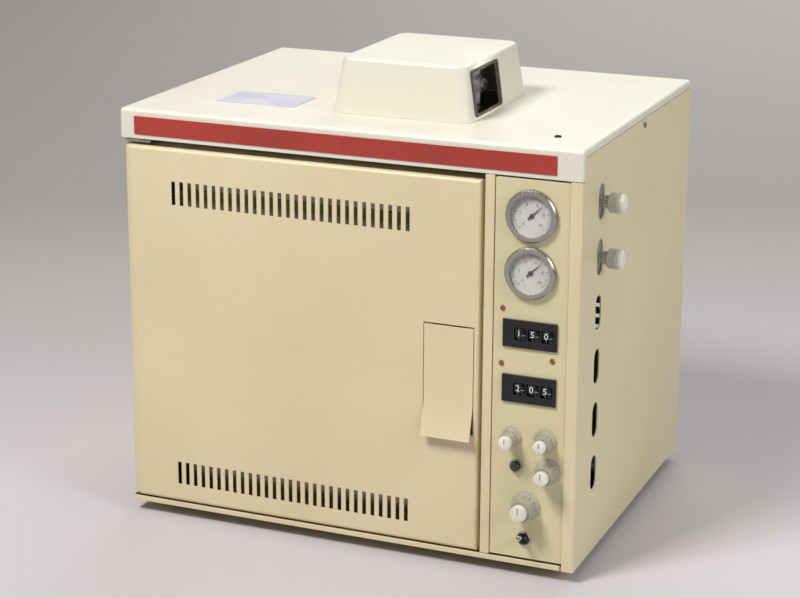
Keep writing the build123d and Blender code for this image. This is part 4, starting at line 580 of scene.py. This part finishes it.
def bar_shape(width, height, thickness, centre, turn=0.0, pivot=None):
    """A thin upright bar facing the front, turned clockwise about a pivot by an angle."""
    shape = bmesh.new()
    bmesh.ops.create_cube(shape, size=1.0)
    bmesh.ops.scale(shape, verts=shape.verts, vec=(width, thickness, height))
    bmesh.ops.translate(shape, verts=shape.verts, vec=centre)
    if turn:
        bmesh.ops.rotate(shape, verts=shape.verts, cent=pivot, matrix=Matrix.Rotation(turn, 3, "Y"))
    return shape


# ---------------------------------------------------------------- pieces
COVER_NODES = ("top_cover", "port_cover")
SHEET_NODES = ("top_cover", "left_side_panel", "right_side_panel", "rear_panel", "base_pan",
               "front_frame", "door_skin", "latch_dish", "latch_paddle", "port_cover", "control_panel")
MOULDED_NODES = ("switch_housing_upper", "switch_housing_lower", "toggle_switch", "power_inlet",
                 "window_trim", "rubber_feet", "red_trim_strip")


def plain_finish(nodes, made):
    """Gives CAD nodes the finish of their slot."""
    for node in nodes:
        holder = frame["nodes"][node]
        for entry in holder.material_slots:
            entry.material = made[SLOT_OF[node]]


class PieceOperator:
    """What the operators share: the settings and the finishes."""

    bl_options = {"REGISTER", "UNDO"}

    def ready(self, context):
        self.colours = context.scene.chromatograph_colours
        self.sizes = context.scene.chromatograph_sizes
        self.made = finishes(self.colours)


class CHROMATOGRAPH_OT_cabinet(PieceOperator, bpy.types.Operator):
    """Painted sheet steel with eased edges: covers, panels, door and latch"""

    bl_idname = "chromatograph.cabinet"
    bl_label = "Cabinet Sheet Metal"

    def execute(self, context):
        self.ready(context)
        for node in SHEET_NODES:
            finish = self.made["cover_paint" if node in COVER_NODES else SLOT_OF[node]]
            eased_copy(node, self.sizes.sheet_ease, finish)
        return {"FINISHED"}


class CHROMATOGRAPH_OT_mouldings(PieceOperator, bpy.types.Operator):
    """Moulded switch housings, inlet, feet and trims with eased edges"""

    bl_idname = "chromatograph.mouldings"
    bl_label = "Mouldings and Trims"

    def execute(self, context):
        self.ready(context)
        for node in MOULDED_NODES:
            eased_copy(node, self.sizes.moulded_ease, self.made[SLOT_OF[node]])
        return {"FINISHED"}


class CHROMATOGRAPH_OT_other_finishes(PieceOperator, bpy.types.Operator):
    """Metals, insulation and plastics of the pieces that keep their own shape"""

    bl_idname = "chromatograph.other_finishes"
    bl_label = "Oven, Metals and Small Parts"

    def execute(self, context):
        self.ready(context)
        dressed = set(SHEET_NODES) | set(MOULDED_NODES)
        plain_finish([node for node in frame["nodes"] if node not in dressed], self.made)
        return {"FINISHED"}


class CHROMATOGRAPH_OT_blank_plate(PieceOperator, bpy.types.Operator):
    """Blank anodised plate stuck to the top cover"""

    bl_idname = "chromatograph.blank_plate"
    bl_label = "Blank Plate"

    def execute(self, context):
        self.ready(context)
        s = self.sizes
        middle = cabinet_spot(*PLATE_SPOT, 0)
        shape = bmesh.new()
        bmesh.ops.create_cube(shape, size=1.0)
        bmesh.ops.scale(shape, verts=shape.verts, vec=(s.plate_width, s.plate_depth, s.plate_thick))
        uprights = [e for e in shape.edges if abs(e.verts[0].co.z - e.verts[1].co.z) > s.plate_thick / 2]
        bmesh.ops.bevel(shape, geom=uprights, offset=3 * MM, segments=5, profile=0.5,
                        affect="EDGES", material=-1)
        top = [f for f in shape.faces if f.normal.z > 0.9]
        bmesh.ops.inset_region(shape, faces=top, thickness=1.6 * MM, depth=0.0)
        bmesh.ops.inset_region(shape, faces=[f for f in shape.faces if f.normal.z > 0.9 and
                                             f.calc_area() > 0.5 * s.plate_width * s.plate_depth],
                               thickness=0.3 * MM, depth=-0.25 * MM)
        bmesh.ops.translate(shape, verts=shape.verts, vec=(middle.x, middle.y, TOP_Z + s.plate_thick / 2))
        finished_piece("blank_plate", shape, self.made["blank_plate"], "chassis")
        return {"FINISHED"}


class CHROMATOGRAPH_OT_top_plug(PieceOperator, bpy.types.Operator):
    """Small dark grommet in the top cover"""

    bl_idname = "chromatograph.top_plug"
    bl_label = "Top Grommet"

    def execute(self, context):
        self.ready(context)
        r, h = self.sizes.plug_radius, self.sizes.plug_height
        place = cabinet_spot(*GROMMET_SPOT, 0)
        shape = turned_shape([(0, h), (0.55 * r, h), (0.85 * r, 0.8 * h), (r, 0.35 * h), (r, 0)], 24)
        bmesh.ops.translate(shape, verts=shape.verts, vec=(place.x, place.y, TOP_Z))
        finished_piece("top_grommet", shape, self.made["foot_rubber"], "chassis")
        return {"FINISHED"}


def ring_shape(outer, inner, length, sides):
    """A flat ring along z, round or with flats, its outer front edge eased."""
    ease = 0.12 * (outer - inner) + 0.15 * MM
    profile = [(inner, 0), (outer - ease, 0), (outer, ease), (outer, length), (inner, length)]
    return turned_shape(profile, sides, closed=True)


def laid(shape, place, direction):
    """Turns a shape made along z so that z points in a direction, and moves it to a place."""
    turn = {"Y": Matrix.Rotation(-pi / 2, 3, "X"), "-X": Matrix.Rotation(-pi / 2, 3, "Y")}[direction]
    bmesh.ops.rotate(shape, verts=shape.verts, cent=(0, 0, 0), matrix=turn)
    bmesh.ops.translate(shape, verts=shape.verts, vec=place)


def cross_shape(length, width, thickness, place, sideways):
    """A thin upright cross that faces front to back, or left to right if sideways."""
    shape = bar_shape(width, length, thickness, Vector((0, 0, 0)))
    joined(shape, bar_shape(length, width, thickness, Vector((0, 0, 0))))
    if sideways:
        bmesh.ops.rotate(shape, verts=shape.verts, cent=(0, 0, 0),
                         matrix=Matrix.Rotation(pi / 2, 3, "Z"))
    bmesh.ops.translate(shape, verts=shape.verts, vec=place)
    return shape


def turned_shape(profile, steps, closed=False):
    """Spins a profile of (radius, height) about z; a closed one makes a ring."""
    shape = bmesh.new()
    rim = [shape.verts.new((radius, 0, height)) for radius, height in profile]
    edges = [shape.edges.new(pair) for pair in zip(rim, rim[1:])]
    if closed:
        edges.append(shape.edges.new((rim[-1], rim[0])))
    bmesh.ops.spin(shape, geom=rim + edges, cent=(0, 0, 0), axis=(0, 0, 1), angle=2 * pi,
                   steps=steps, use_merge=True)
    bmesh.ops.remove_doubles(shape, verts=shape.verts, dist=0.002 * MM)
    open_edges = [e for e in shape.edges if e.is_boundary]
    if open_edges:
        bmesh.ops.holes_fill(shape, edges=open_edges)
    return shape


class CHROMATOGRAPH_OT_wheel_figures(PieceOperator, bpy.types.Operator):
    """White figures 0 to 9 round each thumbwheel"""

    bl_idname = "chromatograph.wheel_figures"
    bl_label = "Thumbwheel Figures"

    def execute(self, context):
        self.ready(context)
        s = self.sizes
        shown = {"upper": (1, 5, 0), "lower": (2, 0, 5)}
        for tier, values in shown.items():
            for place, value in zip(("hundreds", "tens", "units"), values):
                node = f"digit_wheel_{tier}_{place}"
                low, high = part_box(node)
                axle = joint_place(f"thumbwheel_{tier}_{place}_turn")
                spot = Vector((low.x + FIGURE_SHARE * (high.x - low.x), axle.y - WHEEL_FLAT, axle.z))
                shape = bmesh.new()
                for step in range(WHEEL_FIGURES):
                    figure = figure_shape(str((value + step) % WHEEL_FIGURES), s.figure_height, s.ink)
                    bmesh.ops.translate(figure, verts=figure.verts, vec=spot)
                    bmesh.ops.rotate(figure, verts=figure.verts, cent=axle,
                                     matrix=Matrix.Rotation(step * 2 * pi / WHEEL_FIGURES, 3, "X"))
                    joined(shape, figure)
                body = frame["nodes"][node]["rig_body"]
                finished_piece(f"figures_{tier}_{place}", shape, self.made["figure_print"], body,
                               flat=True)
        return {"FINISHED"}


class CHROMATOGRAPH_OT_gauge_scales(PieceOperator, bpy.types.Operator):
    """Divisions and figures on the two gauge dials"""

    bl_idname = "chromatograph.gauge_scales"
    bl_label = "Gauge Scales"

    def execute(self, context):
        self.ready(context)
        s = self.sizes
        face_y = DIALS_LOW.y - s.ink / 2
        radius = (DIALS_HIGH.x - DIALS_LOW.x) / 2
        for tier in ("upper", "lower"):
            centre = joint_place(f"needle_{tier}_sweep")
            middle = Vector((centre.x, face_y, centre.z))
            shape = bmesh.new()
            for step in range(s.dial_divisions + 1):
                turn = DIAL_SWEEP * (step / s.dial_divisions - 0.5)
                long = step % 5 == 0
                length = (0.16 if long else 0.09) * radius
                bar = bar_shape((0.45 if long else 0.22) * MM, length, s.ink,
                                middle + Vector((0, 0, 0.86 * radius - length / 2)), turn, middle)
                joined(shape, bar)
            for step in range(6):
                turn = DIAL_SWEEP * (step / 5 - 0.5)
                figure = figure_shape(str(2 * step), s.dial_figure, s.ink)
                bmesh.ops.translate(figure, verts=figure.verts,
                                    vec=middle + Vector((sin(turn), 0, cos(turn))) * 0.54 * radius)
                joined(shape, figure)
            finished_piece(f"gauge_scale_{tier}", shape, self.made["panel_print"], "chassis",
                           flat=True)
        return {"FINISHED"}


class CHROMATOGRAPH_OT_knob_scales(PieceOperator, bpy.types.Operator):
    """Pale caps and pointer lines on the knobs, and a scale round each on the panel"""

    bl_idname = "chromatograph.knob_scales"
    bl_label = "Knob Caps and Scales"

    def execute(self, context):
        self.ready(context)
        s = self.sizes
        face_y = PANEL_LOW.y - s.ink / 2
        for node in ("knob_upper_left", "knob_upper_right", "knob_middle_right", "knob_lower"):
            low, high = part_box(node)
            centre = joint_place(f"{node}_turn")
            skirt = (high.x - low.x) / 2
            middle = Vector((centre.x, face_y, centre.z))
            shape = bmesh.new()
            for step in range(11):
                turn = KNOB_SWEEP * (step / 10 - 0.5)
                long = step % 5 == 0
                length = (1.6 if long else 1.0) * MM
                reach = skirt + 1.0 * MM + length / 2
                joined(shape, bar_shape(0.3 * MM, length, s.ink, middle + Vector((0, 0, reach)),
                                        turn, middle))
            finished_piece(f"{node}_scale", shape, self.made["panel_print"], "chassis",
                           flat=True)
            # pale cap pressed over the knob's tip, with a pointer line
            cap_r = CAP_SHARE[node] * skirt
            cap = turned_shape([(0, 0), (0.72 * cap_r, 0), (0.94 * cap_r, 0.5 * MM), (cap_r, 1.5 * MM),
                                (cap_r, CAP_LENGTH), (cap_r - 0.5 * MM, CAP_LENGTH)], 40)
            bmesh.ops.rotate(cap, verts=cap.verts, cent=(0, 0, 0), matrix=Matrix.Rotation(-pi / 2, 3, "X"))
            bmesh.ops.translate(cap, verts=cap.verts, vec=(centre.x, low.y - CAP_SKIN, centre.z))
            body = frame["nodes"][node]["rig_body"]
            finished_piece(f"{node}_cap", cap, self.made["knob_cap"], body)
            line = bar_shape(0.7 * MM, 0.8 * cap_r, s.ink,
                             Vector((centre.x, low.y - CAP_SKIN - s.ink / 2, centre.z + 0.36 * cap_r)))
            finished_piece(f"{node}_pointer", line, self.made["panel_print"], body,
                           flat=True)
        return {"FINISHED"}


class CHROMATOGRAPH_OT_small_fittings(PieceOperator, bpy.types.Operator):
    """Cross recesses of the screws, toggle nut, button guard and pale ends of the flow knobs"""

    bl_idname = "chromatograph.small_fittings"
    bl_label = "Small Fittings"

    def execute(self, context):
        self.ready(context)
        self.screw_recesses()
        self.toggle_nut()
        self.button_guard()
        self.flow_caps()
        return {"FINISHED"}

    def screw_recesses(self):
        side = cabinet_spot(0, SIDE_SCREW_BACK, SIDE_SCREW_UP)
        places = [(Vector((x, side.y, side.z)), True) for x in (SCREWS_LOW.x, SCREWS_HIGH.x)]
        for across in REAR_SCREWS_ACROSS:
            for up in REAR_SCREWS_UP:
                corner = cabinet_spot(across, 0, up)
                places.append((Vector((corner.x, SCREWS_HIGH.y, corner.z)), False))
        shape = bmesh.new()
        for place, sideways in places:
            joined(shape, cross_shape(RECESS_LENGTH, RECESS_WIDTH, self.sizes.ink, place, sideways))
        finished_piece("screw_recesses", shape, self.made["panel_print"], "chassis",
                       flat=True)

    def toggle_nut(self):
        centre = joint_place("power_toggle_throw")
        nut = ring_shape(NUT_OUTER, NUT_INNER, NUT_THICK, 6)
        laid(nut, Vector((centre.x, PANEL_LOW.y - NUT_THICK, centre.z)), "Y")
        finished_piece("toggle_nut", nut, self.made["zinc_steel"], "chassis", flat=True)

    def button_guard(self):
        low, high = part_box("push_button")
        guard = ring_shape(GUARD_OUTER, GUARD_INNER, GUARD_THICK, 40)
        laid(guard, Vector(((low.x + high.x) / 2, PANEL_LOW.y - GUARD_THICK, (low.z + high.z) / 2)), "Y")
        finished_piece("button_guard", guard, self.made["zinc_steel"], "chassis")

    def flow_caps(self):
        for node in ("flow_knob_upper", "flow_knob_lower"):
            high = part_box(node)[1]
            centre = joint_place(f"{node}_turn")
            r = FLOW_CAP_RADIUS + CAP_SKIN
            cap = turned_shape([(0, 0), (r - 1.2 * MM, 0), (r, 1.0 * MM), (r, FLOW_CAP_LENGTH - 0.2 * MM),
                                (r - 0.5 * MM, FLOW_CAP_LENGTH)], 44)
            laid(cap, Vector((high.x + CAP_SKIN, centre.y, centre.z)), "-X")
            body = frame["nodes"][node]["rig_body"]
            finished_piece(f"{node}_cap", cap, self.made["knob_cap"], body)


class CHROMATOGRAPH_OT_studio(PieceOperator, bpy.types.Operator):
    """Floor, backdrop, soft lamps and the camera"""

    bl_idname = "chromatograph.studio"
    bl_label = "Studio"

    def execute(self, context):
        studio = context.scene.chromatograph_studio
        build_floor(studio)
        build_lights(studio)
        build_camera(studio)
        context.scene.view_settings.view_transform = "Standard"
        return {"FINISHED"}


def build_floor(studio):
    """One sheet that lies flat under the instrument and darkens towards the back along the camera's line:
    painted shade standing in for light falling off.
    """
    shape = bmesh.new()
    bmesh.ops.create_grid(shape, x_segments=2, y_segments=2, size=FLOOR_HALF)
    mesh = bpy.data.meshes.new("studio_floor")
    shape.to_mesh(mesh)
    shape.free()
    floor = bpy.data.objects.new("studio_floor", mesh)
    bpy.context.scene.collection.objects.link(floor)
    finish = Finish("studio_paper", studio.floor, roughness=0.9)
    turn = finish.nodes.new("ShaderNodeMapping")
    turn.inputs["Rotation"].default_value = (0, 0, -studio.azimuth)
    finish.links.new(finish.place, turn.inputs["Vector"])
    axes = finish.nodes.new("ShaderNodeSeparateXYZ")
    finish.links.new(turn.outputs["Vector"], axes.inputs["Vector"])
    # painted shade: the colour darkens from the floor tint to the backdrop grey with distance back along
    # the camera's line
    depth = finish.nodes.new("ShaderNodeMapRange")
    depth.inputs["From Min"].default_value = 0.0
    depth.inputs["From Max"].default_value = PAINTED_FALLOFF_DEPTH
    finish.links.new(axes.outputs["Y"], depth.inputs["Value"])
    finish.drift(depth.outputs["Result"], 0.0, 1.0, studio.floor, studio.backdrop)
    mesh.materials.append(finish.material)


def build_lights(studio):
    """Softboxes, the narrow lamp on the port window and the even light of the room."""
    middle = Vector((0, 0, TOP_Z / 2))
    window_low, window_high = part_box("window_trim")
    window = (window_low + window_high) / 2
    lamps = (
        # name, place, what it faces, size, spread in degrees, colour, power
        ("top_softbox", (0.1, 0.5, 2.3), (0, 0, TOP_Z), 1.8, 180, COOL_LIGHT, studio.top),
        ("front_softbox", (-0.8, -1.7, 2.5), middle, 0.8, 180, PLAIN_LIGHT, studio.key),
        ("side_softbox", (2.2, -0.7, 1.3), middle, 1.2, 180, COOL_LIGHT, studio.side),
        ("backdrop_softbox", (0, 3.6, 3.0), (-0.5, 3.8, 0), 3.0, 180, PLAIN_LIGHT, studio.back),
        ("sheen_panel", (-1.2, 4.6, 1.5), middle, 2.6, 180, PLAIN_LIGHT, studio.sheen),
        ("window_lamp", window + Vector((0.9, -0.25, 0.12)), window, 0.04, 3, PLAIN_LIGHT,
         studio.window),
    )
    for name, place, target, size, spread, colour, power in lamps:
        light = bpy.data.lights.new(name, "AREA")
        light.size = size
        light.spread = radians(spread)
        light.color = colour
        light.energy = power
        lamp = bpy.data.objects.new(name, light)
        lamp.location = place
        lamp.rotation_mode = "QUATERNION"
        lamp.rotation_quaternion = (Vector(target) - Vector(place)).to_track_quat("-Z", "Y")
        bpy.context.scene.collection.objects.link(lamp)
    world = bpy.data.worlds.new("room")
    world.use_nodes = True
    background = world.node_tree.nodes["Background"]
    background.inputs["Color"].default_value = ROOM_LIGHT
    background.inputs["Strength"].default_value = studio.world
    bpy.context.scene.world = world


def build_camera(studio):
    """The camera, aimed at a point above the middle of the floor."""
    camera = bpy.data.cameras.new("camera")
    camera.lens = studio.lens
    camera.sensor_width = 36.0
    camera.sensor_fit = "HORIZONTAL"
    camera.shift_y = studio.shift
    camera.clip_start = 0.05
    holder = bpy.data.objects.new("camera", camera)
    back = Vector((sin(studio.azimuth) * cos(studio.elevation),
                   -cos(studio.azimuth) * cos(studio.elevation), sin(studio.elevation)))
    holder.location = Vector((studio.aim_right, 0, studio.aim_up)) + back * studio.distance
    holder.rotation_mode = "QUATERNION"
    look = (-back).to_track_quat("-Z", "Y")
    holder.rotation_quaternion = look @ Matrix.Rotation(studio.roll, 3, "Z").to_quaternion()
    bpy.context.scene.collection.objects.link(holder)
    bpy.context.scene.camera = holder


OPERATORS = (
    CHROMATOGRAPH_OT_cabinet,
    CHROMATOGRAPH_OT_mouldings,
    CHROMATOGRAPH_OT_other_finishes,
    CHROMATOGRAPH_OT_blank_plate,
    CHROMATOGRAPH_OT_top_plug,
    CHROMATOGRAPH_OT_wheel_figures,
    CHROMATOGRAPH_OT_gauge_scales,
    CHROMATOGRAPH_OT_knob_scales,
    CHROMATOGRAPH_OT_small_fittings,
    CHROMATOGRAPH_OT_studio,
)


class CHROMATOGRAPH_PT_panel(bpy.types.Panel):
    """Lists the settings and the operators"""

    bl_label = "Gas Chromatograph"
    bl_idname = "CHROMATOGRAPH_PT_panel"
    bl_space_type = "VIEW_3D"
    bl_region_type = "UI"
    bl_category = "Chromatograph"

    def draw(self, context):
        for group_name, group in GROUPS.items():
            box = self.layout.box()
            settings = getattr(context.scene, group_name)
            for setting in group.__annotations__:
                box.prop(settings, setting)
        for operator in OPERATORS:
            self.layout.operator(operator.bl_idname)


def register():
    for group in GROUPS.values():
        bpy.utils.register_class(group)
    for operator in OPERATORS:
        bpy.utils.register_class(operator)
    bpy.utils.register_class(CHROMATOGRAPH_PT_panel)
    for group_name, group in GROUPS.items():
        setattr(bpy.types.Scene, group_name, PointerProperty(type=group))


def unregister():
    for group_name in GROUPS:
        delattr(bpy.types.Scene, group_name)
    bpy.utils.unregister_class(CHROMATOGRAPH_PT_panel)
    for operator in reversed(OPERATORS):
        bpy.utils.unregister_class(operator)
    for group in reversed(list(GROUPS.values())):
        bpy.utils.unregister_class(group)


def main():
    register()
    for operator in OPERATORS:
        family, name = operator.bl_idname.split(".")
        getattr(getattr(bpy.ops, family), name)()


if __name__ == "__main__":
    main()
